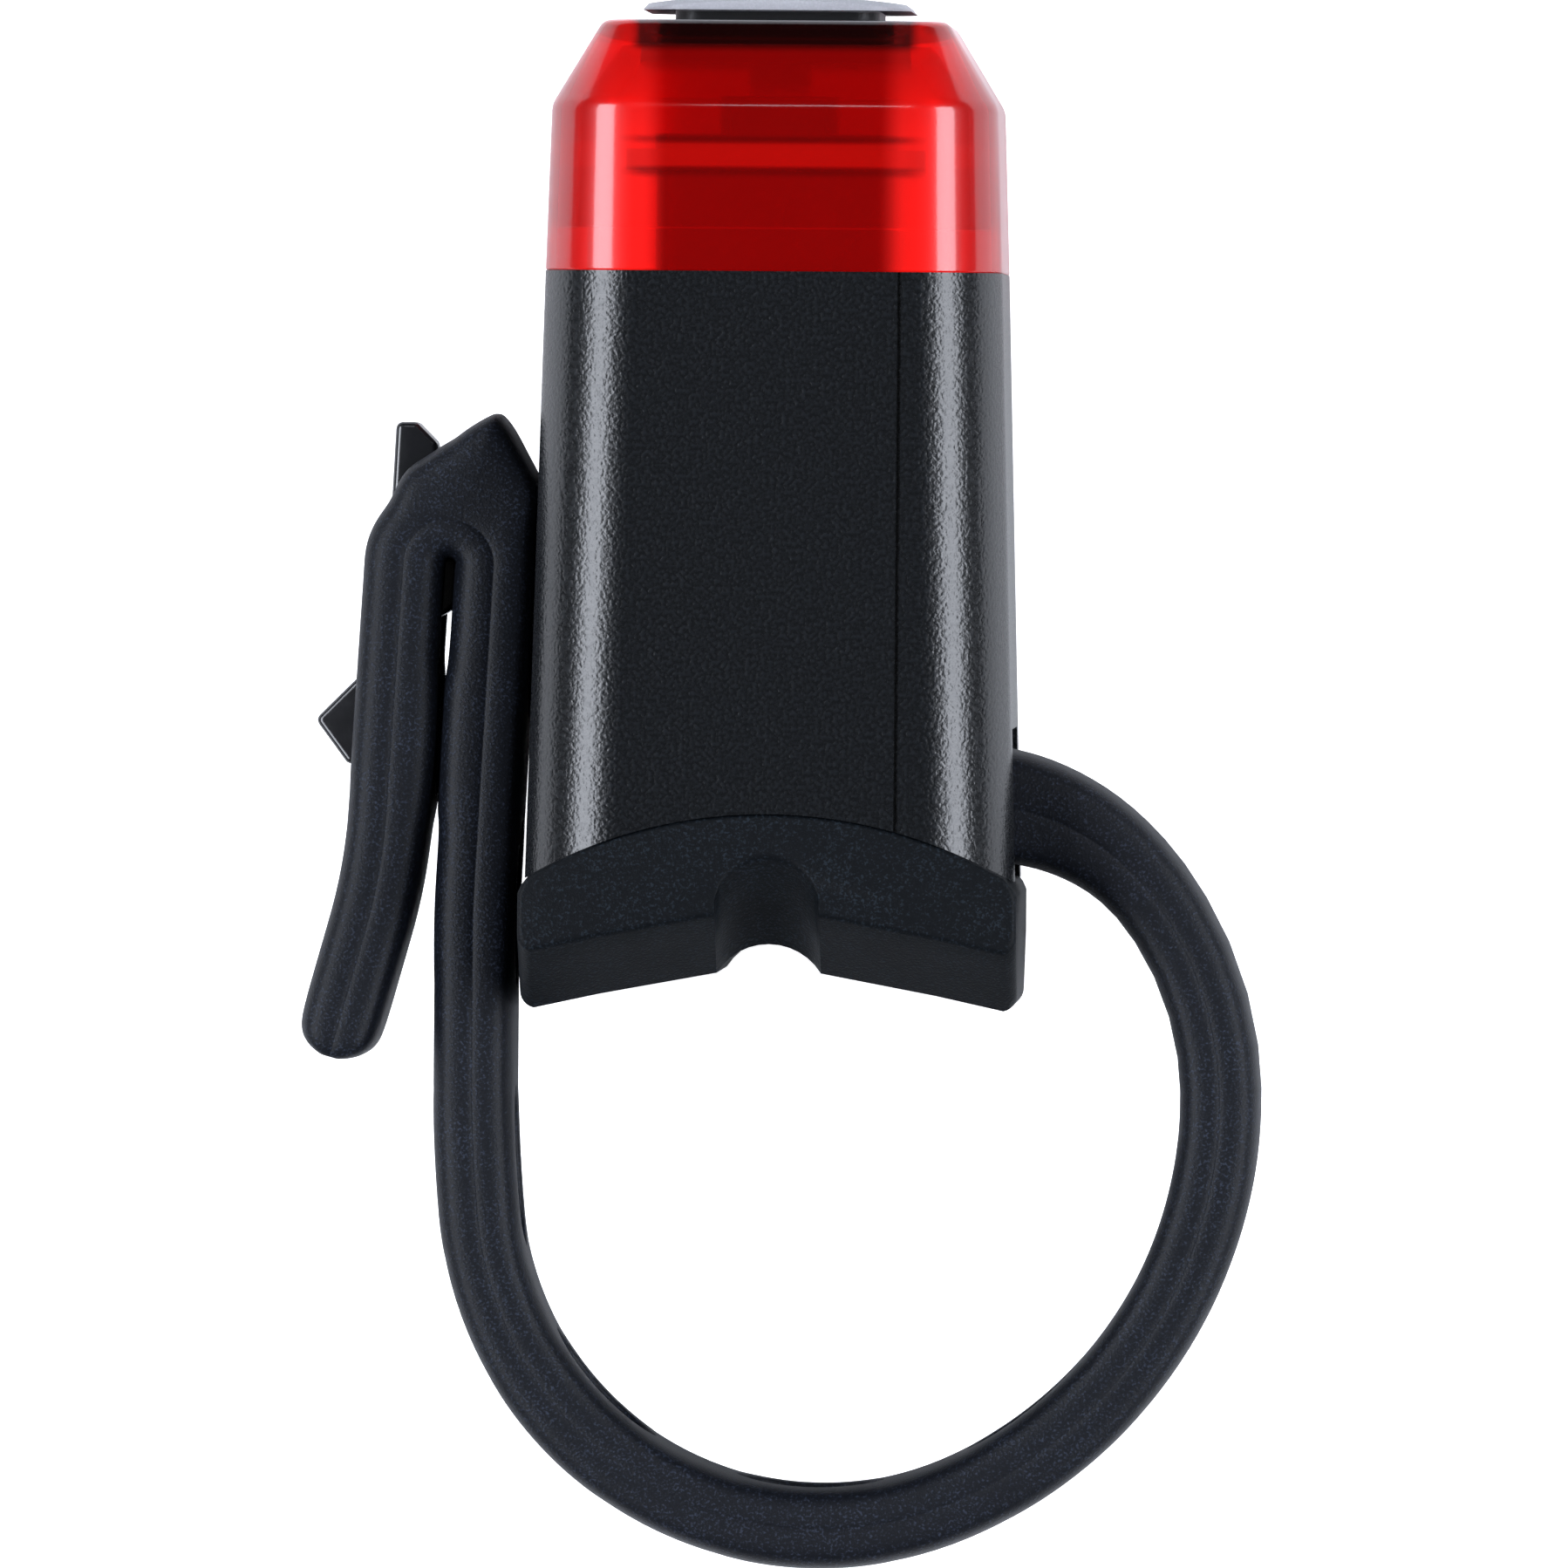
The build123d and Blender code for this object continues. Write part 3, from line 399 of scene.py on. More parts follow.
def rubber(name, colour, speck, shine=0.24):
    """Dull rubber whose specks are so many times as bright as its colour."""
    finish = Finish(name)
    fine = finish.noise(speck_size, detail=1.6, roughness=0.7)
    cloud = finish.noise(bloom_size)
    specks = finish.node(
        "ShaderNodeMapRange", {},
        {"Value": fine * (0.85 + 0.3 * cloud), "From Min": speck_start, "From Max": speck_end})
    return finish.set(
        Base_Color=finish.blend(specks, shade(*colour), toned(colour, speck)), Roughness=0.42 + 0.16 * fine,
        Specular_IOR_Level=shine, Normal=finish.bump(fine, rubber_relief))


strap_rubber = rubber("strap_rubber", (0.0034, 0.0044, 0.007), speck=6.0, shine=0.2)
pad_rubber = rubber("pad_rubber", (0.0022, 0.0032, 0.0044), speck=5.0, shine=0.12)
seal_rubber = rubber("seal_rubber", (0.012, 0.012, 0.013), speck=1.4)
flap_rubber = rubber("flap_rubber", (0.012, 0.0125, 0.014), speck=1.4)
foam_rubber = rubber("foam", (0.05, 0.05, 0.052), speck=1.6)
print("five rubbers ready")

# %% [markdown]
# The lens is dyed clear plastic, a refracting body that is darker at its sides, where one looks through more
# of it. Its glow is painted light in its emission: a painted glow at both sides of the core, a brighter
# painted band with two dark painted lines where a shelf lies inside, and the painted shadow of the button's
# collar.

# %% Lens, lamps, boards and metals
# Where the painted glow grows, the collar's painted shadow, the painted shelf band and its dark painted lines
# lie, in millimetres
core_edge, rim_edge = (5.4, 6.8), (8.0, 11.2)
glow_growth = (-27.0, -21.5)
collar_shadow_end, collar_shadow_side = (-27.5, -26.9), (6.9, 7.7)
shelf_glow_near, shelf_glow_far = (-22.5, -22.15), (-21.2, -20.9)
shade_line_near, shade_line_far, shade_line_side = (-22.8, -22.5), (-20.8, -20.4), (6.6, 8.2)


def clear_lens():
    finish = Finish("red_lens")
    cloud = finish.noise(4.0)
    aside = finish.node("ShaderNodeMath", {"operation": "ABSOLUTE"}, {0: finish.coordinate("X")})
    along = finish.coordinate("Y")
    inside = finish.ramp(aside, *core_edge)
    outside = finish.ramp(aside, *rim_edge)
    behind = finish.ramp(along, *glow_growth)
    # Painted shadow of the button's collar, near the lens's front and round the button
    collar = (1 - finish.ramp(along, *collar_shadow_end)) * (1 - finish.ramp(aside, *collar_shadow_side))
    # A brighter painted band where the shelf lies inside, and dark painted lines along its two edges
    shelf_glow = finish.ramp(along, *shelf_glow_near) * (1 - finish.ramp(along, *shelf_glow_far)) * (1 - outside)
    shelf_shade_lines = finish.ramp(along, *shade_line_near) * (1 - finish.ramp(along, *shade_line_far)) * (1 - shelf_glow)
    shelf_shade_lines = shelf_shade_lines * (1 - finish.ramp(aside, *shade_line_side)) * (0.4 + 0.8 * cloud)
    # Painted glow at both sides of the core, growing deeper in
    glow = inside * (1 - 0.9 * outside) * (0.35 + 0.65 * behind)

    clear = finish.blend(cloud, shade(0.46, 0.0015, 0.0015), shade(0.54, 0.002, 0.002))
    rim = finish.blend(cloud, shade(0.15, 0.001, 0.001), shade(0.19, 0.0015, 0.0015))
    # The collar's painted shadow darkens the lens's colour as well as its glow
    tone = finish.blend(collar, finish.blend(outside, clear, rim), shade(0.02, 0.001, 0.001))
    # The emission is painted light: a faint painted glow in the core, brighter over the shelf band, then the
    # side glow and the dark lines
    core_glow = finish.blend(shelf_glow, shade(0.085, 0.0, 0.0), shade(0.21, 0.002, 0.001))
    light = finish.blend(glow, core_glow, shade(0.4, 0.006, 0.004))
    light = finish.blend(shelf_shade_lines, light, shade(0.03, 0.0, 0.0))
    light = finish.blend(collar, light, shade(0.003, 0.0, 0.0))
    return finish.set(
        Base_Color=tone, Roughness=0.1 + 0.03 * cloud, IOR=1.49, Specular_IOR_Level=0.04,
        Transmission_Weight=0.9, Coat_Weight=0.05 + 0.6 * inside, Coat_Roughness=0.3,
        Emission_Color=light, Emission_Strength=1.0)


def lamp_resin():
    finish = Finish("lamp_resin")
    fine = finish.noise(0.6)
    tone = finish.blend(fine, shade(0.85, 0.3, 0.2), shade(0.95, 0.42, 0.3))
    glow = finish.blend(fine, shade(1.0, 0.05, 0.03), shade(1.0, 0.09, 0.05))
    return finish.set(
        Base_Color=tone, Roughness=0.2 + 0.1 * fine, Emission_Color=glow, Emission_Strength=1.5)


def laminate():
    finish = Finish("board_laminate")
    weave = finish.cells(0.4)
    tone = finish.blend(weave, shade(0.018, 0.1, 0.04), shade(0.03, 0.14, 0.06))
    return finish.set(Base_Color=tone, Roughness=0.32 + 0.1 * weave, Normal=finish.bump(weave, 0.01))


def metal(name, colour, gloss):
    finish = Finish(name)
    fine = finish.noise(0.25, detail=3.0)
    tone = finish.blend(fine, toned(colour, darkest_share), shade(*colour))
    return finish.set(
        Base_Color=tone, Metallic=1.0, Roughness=gloss + 0.12 * fine, Normal=finish.bump(fine, 0.006))


red_lens = clear_lens()
made = (
    housing_plastic, hook_plastic, button_plastic, tower_plastic, switch_plastic, plunger_plastic, chip_resin,
    strap_rubber, pad_rubber, seal_rubber, flap_rubber, foam_rubber, red_lens, lamp_resin(), laminate(),
    metal("screw_steel", (0.55, 0.55, 0.56), gloss=0.25),
    metal("port_steel", (0.62, 0.62, 0.63), gloss=0.22),
    metal("pin_brass", (0.78, 0.6, 0.28), gloss=0.25),
    metal("pin_steel", (0.5, 0.5, 0.51), gloss=0.28),
    metal("cell_foil", (0.6, 0.62, 0.65), gloss=0.35),
    grained_plastic("lead_red", (0.4, 0.02, 0.015), grain=0.3, depth=0.01, gloss=(0.35, 0.45)),
    grained_plastic("lead_black", (0.015, 0.015, 0.016), grain=0.3, depth=0.01, gloss=(0.35, 0.45)),
)
# The frame's own materials have these names already, so a new one's name may end in a number
finishes = {finish.name.split(".")[0]: finish for finish in made}
for node, piece in frame["nodes"].items():
    piece.data.materials.clear()
    piece.data.materials.append(finishes[slot_of_node[node]])
print(len(finishes), "finishes on", len(frame["nodes"]), "nodes")

# %% [markdown]
# ## The band's centre line
# A flat moulded band can only bend one way, so its centre line in the plane across the seatpost says how it
# lies. It is a chain of bends and straight runs: up from its pin, round the seatpost, back along the housing,
# sharply over the hook, and down to its free end.

# %% Chain of bends
strap_width = 12.0
strap_thickness = 4.2
root_thickness = 5.9
start_x, start_y, start_heading = -12.43, 12.0, 10.5
root_bend_angle = 42.5
root_bend_radius = 12.0
fold_radius = 2.35
route = (
    ("bend", root_bend_radius, root_bend_angle),
    ("bend", 17.5, 36.5),
    ("bend", 22.82, 66.0),
    ("bend", 17.8, 109.0),
    ("bend", 80.0, 5.5),
    ("run", 6.8, 0.0),
    ("bend", 55.0, 3.0),
    ("run", 16.4, 0.0),
    ("bend", fold_radius, -179.6),
    ("run", 13.0, 0.0),
    ("bend", 29.0, 12.2),
    ("run", 4.9, 0.0),
)
fold_stretch = 8
lead_in = 3.0
path_step = 0.25


def walk(route):
    """The centre line's points, and the distance at each stretch's start and at the end."""
    x, y, heading, distance = start_x, start_y, start_heading, 0.0
    back = radians(heading)
    points = [(x + lead_in * cos(back), y - lead_in * sin(back)), (x, y)]
    starts = []
    for kind, size, turn in route:
        starts.append(distance)
        length = size if kind == "run" else size * radians(abs(turn))
        steps = max(1, round(length / path_step))
        first_x, first_y, first = x, y, radians(heading)
        for i in range(1, steps + 1):
            share = i / steps
            if kind == "run":
                x = first_x - size * share * cos(first)
                y = first_y + size * share * sin(first)
            else:
                side = size if turn > 0 else -size
                now = first + radians(turn) * share
                x = first_x - side * (sin(now) - sin(first))
                y = first_y + side * (cos(first) - cos(now))
            points.append((x, y))
        heading += turn
        distance += length
    starts.append(distance)
    onward = radians(heading)
    points.append((x - lead_in * cos(onward), y + lead_in * sin(onward)))
    return points, starts


path_points, stretch_starts = walk(route)
fold_start, fold_end = stretch_starts[fold_stretch:fold_stretch + 2]
strap_length = stretch_starts[-1]
print("the band is", round(strap_length), "mm long and folds at", round(fold_start), "mm")

# %% [markdown]
# ## The band, flat
# The band is modelled flat, as (distance, depth, width), with few points, and smoothed afterwards. Each
# slot is a run of stations where the middle is open, and its half-width follows an oval. Over the hook the
# rubber stands up in a ridge: there the inner depth grows, as the distance from the fold's centre says.

# %% Flat cage of the band
edge_round = 0.72
rim_round = 0.45
slot_length, slot_width, slot_pitch, slot_count = 8.6, 5.2, 14.0, 6
closed_half = 0.9
narrowest_share = 0.8
groove_depth, groove_half = 0.14, 0.13
hooked_centre = fold_start + slot_width / 6 - slot_length / 2
# The ridge's flat flanks: each one's distance from the fold's centre, and the angle that it faces
ridge_flanks = ((6.12, 32.7), (5.39, 126), (4.42, 0), (4.11, 160))
ridge_turn, ridge_half_turn = 75.9, 1.2
grazing, far_away = 0.05, 99.0
touching_middle, touching_half, touching_swell = 9.4, 4.4, 0.24
touching_shares = (-1.0, -0.8, 0.0, 0.8, 1.0)
tail_power, thinnest_share = 3.2, 0.02
end_slot_start = (fold_start + fold_end) / 2
end_slot_end = fold_end + 12.1
slot_end_angles, tail_angles = (28, 54, 74), (30, 55, 75, 88)
fold_steps = 20
longest_straight = 4
closest_stations = 0.17
root_stations = (-2.2, -1.4, 0.0, 2.5, 5.0)
tail_stations = (137.0, 140.0, 143.0)
slots = [(hooked_centre - i * slot_pitch, slot_length / 2) for i in range(slot_count + 1)]
slots.append(((end_slot_start + end_slot_end) / 2, (end_slot_end - end_slot_start) / 2))


def slot_half_width(offset, half_length):
    """Half the slot's width at an offset from its middle."""
    past = abs(offset) - (half_length - slot_width / 2)
    if past <= 0:
        return slot_width / 2
    return max(closed_half * narrowest_share, sqrt(max(0.0, (slot_width / 2) ** 2 - past ** 2)))


def flank(distance, lean, turn):
    """How far a flat flank lies from the fold's centre at a turn, or far away where it is behind."""
    cosine = cos(turn - radians(lean))
    return distance / cosine if cosine > grazing else far_away


def inner_depth(s):
    """From the centre line to the face that lies on the seatpost, or on the outside of the fold."""
    if not fold_start < s < fold_end:
        return half_thickness(s)
    turn = (s - fold_start) / fold_radius
    nearest = min(flank(distance, lean, turn) for distance, lean in ridge_flanks)
    return max(strap_thickness / 2, nearest - fold_radius)


def swelling(s):
    """How much fuller the two legs are where they rest on each other below the hook."""
    from_fold = max(fold_start - s, s - fold_end)
    return touching_swell * max(0.0, 1 - ((from_fold - touching_middle) / touching_half) ** 4)


def half_thickness(s):
    """Half the band's thickness, which falls from the root and ends in a blunt tail."""
    root_end = stretch_starts[1]
    share = min(1.0, max(0.0, s) / root_end)
    half = (root_thickness + (strap_thickness - root_thickness) * share) / 2
    past = max(0.0, s - strap_length)
    tail = strap_thickness / 2
    return half * sqrt(max(thinnest_share, 1 - (past / tail) ** tail_power))


def stations():
    """Where the cage has a ring, and the slot that each ring lies in."""
    places = {}

    def put(s, slot=None):
        key = round(s, 3)
        if places.get(key) is None:
            places[key] = slot

    for centre, half in slots:
        straight = half - slot_width / 2
        round_end = slot_width / 2
        offsets = [0.0, straight, half]
        offsets += [straight + round_end * sin(radians(a)) for a in slot_end_angles]
        if straight > longest_straight:
            offsets += [straight / 3, straight * 2 / 3]
        for offset in offsets:
            put(centre - offset, (centre, half))
            put(centre + offset, (centre, half))
        put(centre - half - rim_round)
        put(centre + half + rim_round)
    for turn in (ridge_turn - ridge_half_turn, ridge_turn + ridge_half_turn):
        put(fold_start + fold_radius * radians(turn))
    taken = sorted(places)
    wanted = [fold_start + (fold_end - fold_start) * i / fold_steps for i in range(fold_steps + 1)]
    for edge in (fold_start - touching_middle, fold_end + touching_middle):
        wanted += [edge + touching_half * share for share in touching_shares]
    wanted += [*root_stations, stretch_starts[1], *tail_stations, strap_length]
    wanted += [strap_length + strap_thickness / 2 * sin(radians(a)) for a in tail_angles]
    for s in wanted:
        if min(abs(s - other) for other in taken) > closest_stations:
            inside = [slot for slot in slots if abs(s - slot[0]) < slot[1]]
            put(s, inside[0] if inside else None)
    return sorted(places.items())


def ring(s, slot):
    """The closed profile at a station: outer face, one side, inner face, other side."""
    outer, inner = half_thickness(s) + swelling(s), inner_depth(s)
    end = min(1.0, half_thickness(s) / (strap_thickness / 2))
    side = strap_width / 2 - (1 - end) * edge_round
    rounding = edge_round * end
    half = slot_half_width(s - slot[0], slot[1]) if slot else closed_half
    across = (side - rounding, half + rim_round, half)
    top = [(z, outer) for z in [-a for a in across] + list(reversed(across))]
    low = [(z, -inner) for z in list(across) + [-a for a in reversed(across)]]
    groove = groove_half * end
    wall = [
        (side, outer - rounding), (side, groove), (side - groove_depth * end, 0.0),
        (side, -groove), (side, -inner + rounding)]
    profile = top + wall + low + [(-z, n) for z, n in reversed(wall)]
    walls = [(half, outer - rim_round), (half, rim_round - inner)]
    walls += [(-half, outer - rim_round), (-half, rim_round - inner)]
    return profile, walls


# Where the openings' walls meet a station's profile: its points beside the slot, on its two faces
top_left, top_right, low_right, low_left = 2, 3, 13, 14


def flat_cage():
    """The band as a cage of quads, with its openings left free and walled."""
    mesh = bmesh.new()
    rings = []
    for s, slot in stations():
        profile, walls = ring(s, slot)
        verts = [mesh.verts.new(Vector((s, n, z)) * mm) for z, n in profile]
        holes = [mesh.verts.new(Vector((s, n, z)) * mm) for z, n in walls] if slot else []
        rings.append((s, slot, verts, holes))
    for near, far in zip(rings, rings[1:]):
        open_here = near[1] is not None and near[1] == far[1]
        a, b = near[2], far[2]
        for i in range(len(a)):
            if open_here and i in (top_left, low_right):
                continue
            j = (i + 1) % len(a)
            mesh.faces.new((a[i], a[j], b[j], b[i]))
        if open_here:
            for top, first, second, low in ((top_right, 0, 1, low_right), (top_left, 2, 3, low_left)):
                chain_a = (a[top], near[3][first], near[3][second], a[low])
                chain_b = (b[top], far[3][first], far[3][second], b[low])
                for k in range(len(chain_a) - 1):
                    mesh.faces.new((chain_a[k], chain_a[k + 1], chain_b[k + 1], chain_b[k]))
    for index, (s, slot, verts, holes) in enumerate(rings):
        if slot and (rings[index - 1][1] != slot or rings[index + 1][1] != slot):
            left = (verts[top_left], holes[2], holes[3], verts[low_left])
            right = (verts[top_right], holes[0], holes[1], verts[low_right])
            for k in range(len(left) - 1):
                mesh.faces.new((left[k], right[k], right[k + 1], left[k + 1]))
    mesh.faces.new(rings[0][2])
    mesh.faces.new(rings[-1][2])
    return mesh


cage = finish_mesh(flat_cage(), "flat_band", sharp_angle=180)
print("the flat band has", len(cage.data.vertices), "points and", len(slots), "openings")

# %% [markdown]
# ## Bending the band
# A Geometry Nodes tree smooths the flat band and then lays it along the centre line: a point's first
# coordinate is the distance to sample on the curve, its second is measured across the curve, and its third
# stays along the seatpost. The same tree would bend any other flat band along any other line.

# %% The bending tree
def curve_object(name, points):
    data = bpy.data.curves.new(name, "CURVE")
    data.dimensions = "3D"
    spline = data.splines.new("POLY")
    spline.points.add(len(points) - 1)
    for point, (x, y) in zip(spline.points, points):
        point.co = (x * mm, y * mm, middle_z * mm, 1.0)
    made = bpy.data.objects.new(name, data)
    bpy.context.collection.objects.link(made)
    return made


def bending_tree():
    tree = bpy.data.node_groups.new("lay_along_path", "GeometryNodeTree")
    face = tree.interface
    face.new_socket("Geometry", in_out="INPUT", socket_type="NodeSocketGeometry")
    face.new_socket("Path", in_out="INPUT", socket_type="NodeSocketObject")
    face.new_socket("Start", in_out="INPUT", socket_type="NodeSocketFloat")
    face.new_socket("Levels", in_out="INPUT", socket_type="NodeSocketInt")
    face.new_socket("Finish", in_out="INPUT", socket_type="NodeSocketMaterial")
    face.new_socket("Geometry", in_out="OUTPUT", socket_type="NodeSocketGeometry")
    nodes, links = tree.nodes, tree.links
    given, result = nodes.new("NodeGroupInput"), nodes.new("NodeGroupOutput")

    smooth = nodes.new("GeometryNodeSubdivisionSurface")
    links.new(given.outputs["Geometry"], smooth.inputs["Mesh"])
    links.new(given.outputs["Levels"], smooth.inputs["Level"])
    path = nodes.new("GeometryNodeObjectInfo")
    links.new(given.outputs["Path"], path.inputs["Object"])
    flat = nodes.new("ShaderNodeSeparateXYZ")
    links.new(nodes.new("GeometryNodeInputPosition").outputs[0], flat.inputs[0])
    along = nodes.new("ShaderNodeMath")
    links.new(flat.outputs["X"], along.inputs[0])
    links.new(given.outputs["Start"], along.inputs[1])
    sample = nodes.new("GeometryNodeSampleCurve")
    sample.mode = "LENGTH"
    links.new(path.outputs["Geometry"], sample.inputs["Curves"])
    links.new(along.outputs[0], sample.inputs["Length"])

    outwards = nodes.new("ShaderNodeVectorMath")
    outwards.operation = "CROSS_PRODUCT"
    outwards.inputs[0].default_value = (0, 0, 1)
    links.new(sample.outputs["Tangent"], outwards.inputs[1])
    depth = nodes.new("ShaderNodeVectorMath")
    depth.operation = "SCALE"
    links.new(outwards.outputs[0], depth.inputs[0])
    links.new(flat.outputs["Y"], depth.inputs["Scale"])
    height = nodes.new("ShaderNodeCombineXYZ")
    links.new(flat.outputs["Z"], height.inputs["Z"])
    lifted = nodes.new("ShaderNodeVectorMath")
    links.new(sample.outputs["Position"], lifted.inputs[0])
    links.new(depth.outputs[0], lifted.inputs[1])
    placed = nodes.new("ShaderNodeVectorMath")
    links.new(lifted.outputs[0], placed.inputs[0])
    links.new(height.outputs[0], placed.inputs[1])
    bend = nodes.new("GeometryNodeSetPosition")
    links.new(smooth.outputs["Mesh"], bend.inputs["Geometry"])
    links.new(placed.outputs[0], bend.inputs["Position"])
    coat = nodes.new("GeometryNodeSetMaterial")
    links.new(bend.outputs["Geometry"], coat.inputs["Geometry"])
    links.new(given.outputs["Finish"], coat.inputs["Material"])
    links.new(coat.outputs["Geometry"], result.inputs["Geometry"])
    return tree


def grown(source, tree, values):
    """Runs a tree on an object with its named inputs, and returns the result as a plain mesh."""
    modifier = source.modifiers.new("grow", "NODES")
    modifier.node_group = tree
    sockets = {s.name: s.identifier for s in tree.interface.items_tree if s.in_out == "INPUT"}
    for name, value in values.items():
        modifier[sockets[name]] = value
    source.update_tag()
    bpy.context.view_layer.update()
    graph = bpy.context.evaluated_depsgraph_get()
    data = bpy.data.meshes.new_from_object(source.evaluated_get(graph), depsgraph=graph)
    source.modifiers.remove(modifier)
    return data


path = curve_object("band_path", path_points)
bent = grown(cage, bending_tree(), {"Path": path, "Start": lead_in * mm, "Levels": 2, "Finish": strap_rubber})
bpy.data.objects.remove(cage)
bpy.data.objects.remove(path)
print("the bent band has", len(bent.polygons), "faces")

# %% [markdown]
# Inside the housing the band ends in an eye round its steel pin. Band and eye are one moulding.

# %% Eye of the band
eye_x, eye_y = -8.575, 11.1
eye_radius, eye_bore, eye_steps = 2.5, 1.4, 40
low, high = middle_z - strap_width / 2, middle_z + strap_width / 2
turns = [2 * pi * i / eye_steps for i in range(eye_steps)]
eye_loops = []
for radius, z in ((eye_radius, low), (eye_radius, high), (eye_bore, high), (eye_bore, low)):
    eye_loops.append([(eye_x + radius * cos(a), eye_y + radius * sin(a), z) for a in turns])
eye = finish_mesh(skin(eye_loops, closed=True), "eye")
whole = bmesh.new()
whole.from_mesh(bent)
whole.from_mesh(eye.data)
bpy.data.objects.remove(eye)
strap = stands_in(finish_mesh(whole, "strap_band", sharp_angle=60), "strap", strap_rubber)
print("strap:", len(strap.data.polygons), "faces")

# %% [markdown]
# ## The pad
# The pad rocks against seatposts of any size: a V with a groove along its middle, and ends that slope away.
# Its outline is the same at every height but for the V's rise and the groove's depth, so it is a stack of
# equal loops.

# %% Pad
pad_half = 12.875
vee_y, corner_rise = 20.6, 1.9
groove_half_width, groove_mid_depth, groove_end_depth = 2.7, 1.5, 3.0
bevel_length, bevel_rise = 5.0, 3.1
pad_corner, pad_side_corner, pad_rim = 0.9, 0.6, 0.25
side_step, side_step_share = 0.18, 0.7
arch_steps, groove_steps = 20, 12
corner_turn, corner_parts = 78, 6
face_shares = (0.35, 0.7, 0.93)
bevel_heights = [1.5, 2.6, 3.6, 4.4, 5.0, 5.6, 9.0]


def seam_at(x):
    """The depth of the arch that the pad and the housing share."""
    return arch_centre_y - sqrt(arch_radius ** 2 - x ** 2)


def pad_outline(rise, depth, inset):
    """The pad across the seatpost, anticlockwise from its arch's -X end."""
    half = pad_half - inset
    vee, corner_y = vee_y - rise - inset, vee_y + corner_rise - rise - inset
    arch_half = half - pad_side_corner
    across = [arch_half * (2 * i / arch_steps - 1) for i in range(arch_steps + 1)]
    left_to_right = [(x, seam_at(x) + inset) for x in across]
    side_low = seam_at(half) + inset + pad_side_corner
    right_side = [(half - side_step, side_low - pad_side_corner * side_step_share), (half, side_low)]
    corner_x = half - pad_corner
    corner = arc((corner_x, corner_y - pad_corner), pad_corner, 0, corner_turn, corner_parts)
    slope = (corner_y - vee) / (half - groove_half_width)
    face_xs = [corner_x - (corner_x - groove_half_width) * share for share in face_shares]
    face = [(x, corner_y - slope * (half - x)) for x in face_xs]
    groove_radius = (groove_half_width ** 2 + depth ** 2) / (2 * depth)
    opening = asin(min(1.0, groove_half_width / groove_radius))
    if depth > groove_half_width:
        opening = pi - opening
    groove = []
    for i in range(groove_steps + 1):
        turn = opening * (1 - 2 * i / groove_steps)
        groove.append((groove_radius * sin(turn), vee + groove_radius * (cos(opening) - cos(turn))))
    right_face = corner + face
    mirrored = [(-x, y) for x, y in reversed(right_side + right_face)]
    return left_to_right + right_side + right_face + groove + mirrored


def pad_level(z):
    """Rise and groove depth at a height."""
    from_end = min(z, light_height - z)
    share = max(0.0, 1 - from_end / bevel_length)
    return bevel_rise * share, groove_mid_depth + (groove_end_depth - groove_mid_depth) * share


rims = edge_profile(0.0, light_height, pad_rim)
heights = bevel_heights + [middle_z] + [light_height - z for z in reversed(bevel_heights)]
levels = rims[:edge_steps + 1] + [(0.0, z) for z in heights] + rims[edge_steps + 1:]
pad_loops = []
for inset, z in levels:
    rise, depth = pad_level(z)
    pad_loops.append([(x, y, z) for x, y in pad_outline(rise, depth, inset)])
pad = finish_mesh(skin(pad_loops), "rocking_pad", sharp_angle=27)
stands_in(pad, "seatpost_pad", pad_rubber)
print("pad:", len(pad.data.polygons), "faces")

# %% [markdown]
# ## The lens
# The lens is a hollow cap. Its wall has one cross-section all the way round: a slightly flared side, a
# chamfer, the front round the button, and a tongue that enters the housing. Each corner of that section is
# rounded as its mould is, and the shoulder's soft edge catches a thin line of light.

# %% Lens
shoulder_y, front_y, hole_inset = -24.3, -28.7, 5.225
lens_wall, tongue_root_y, tongue_end_y = 1.5, -17.9, -13.5
tongue_outer, tongue_inner = 1.88, 2.73
lens_flare, chamfer_inset, inner_chamfer_inset, root_inset = 0.275, 2.925, 3.52, 1.57
smallest_corner = 1.75
lens_section = [
    (seam_y, 0.0), (shoulder_y, lens_flare), (front_y, chamfer_inset), (front_y, hole_inset),
    (front_y + lens_wall, hole_inset), (front_y + lens_wall, inner_chamfer_inset),
    (shoulder_y, lens_flare + lens_wall), (tongue_root_y, root_inset), (tongue_root_y, tongue_inner),
    (tongue_end_y, tongue_inner), (tongue_end_y, tongue_outer), (seam_y, tongue_outer),
]
lens_radii = [0.15, 1.4, 0.8, 0.2, 0.2, 0.4, 1.0, 0.1, 0.1, 0.1, 0.1, 0.1]
lens_loops = []
for y, inset in round_corners(lens_section, lens_radii):
    radius = max(corner_radius - inset, smallest_corner)
    outline = rounded_box(seam_width - 2 * inset, light_height - 2 * inset, radius)
    lens_loops.append([(x, y, middle_z + z) for x, z in outline])
lens = finish_mesh(skin(lens_loops, closed=True), "red_cap", sharp_angle=60)
stands_in(lens, "lens", red_lens)
print("lens:", len(lens.data.polygons), "faces")

# %% [markdown]
# ## The hook
# The hook is one glossy arm: a neck through the wall, a horn that the band is pulled over, and a nose that
# keeps it there. All its outer edges are rounded, which is what catches the light.

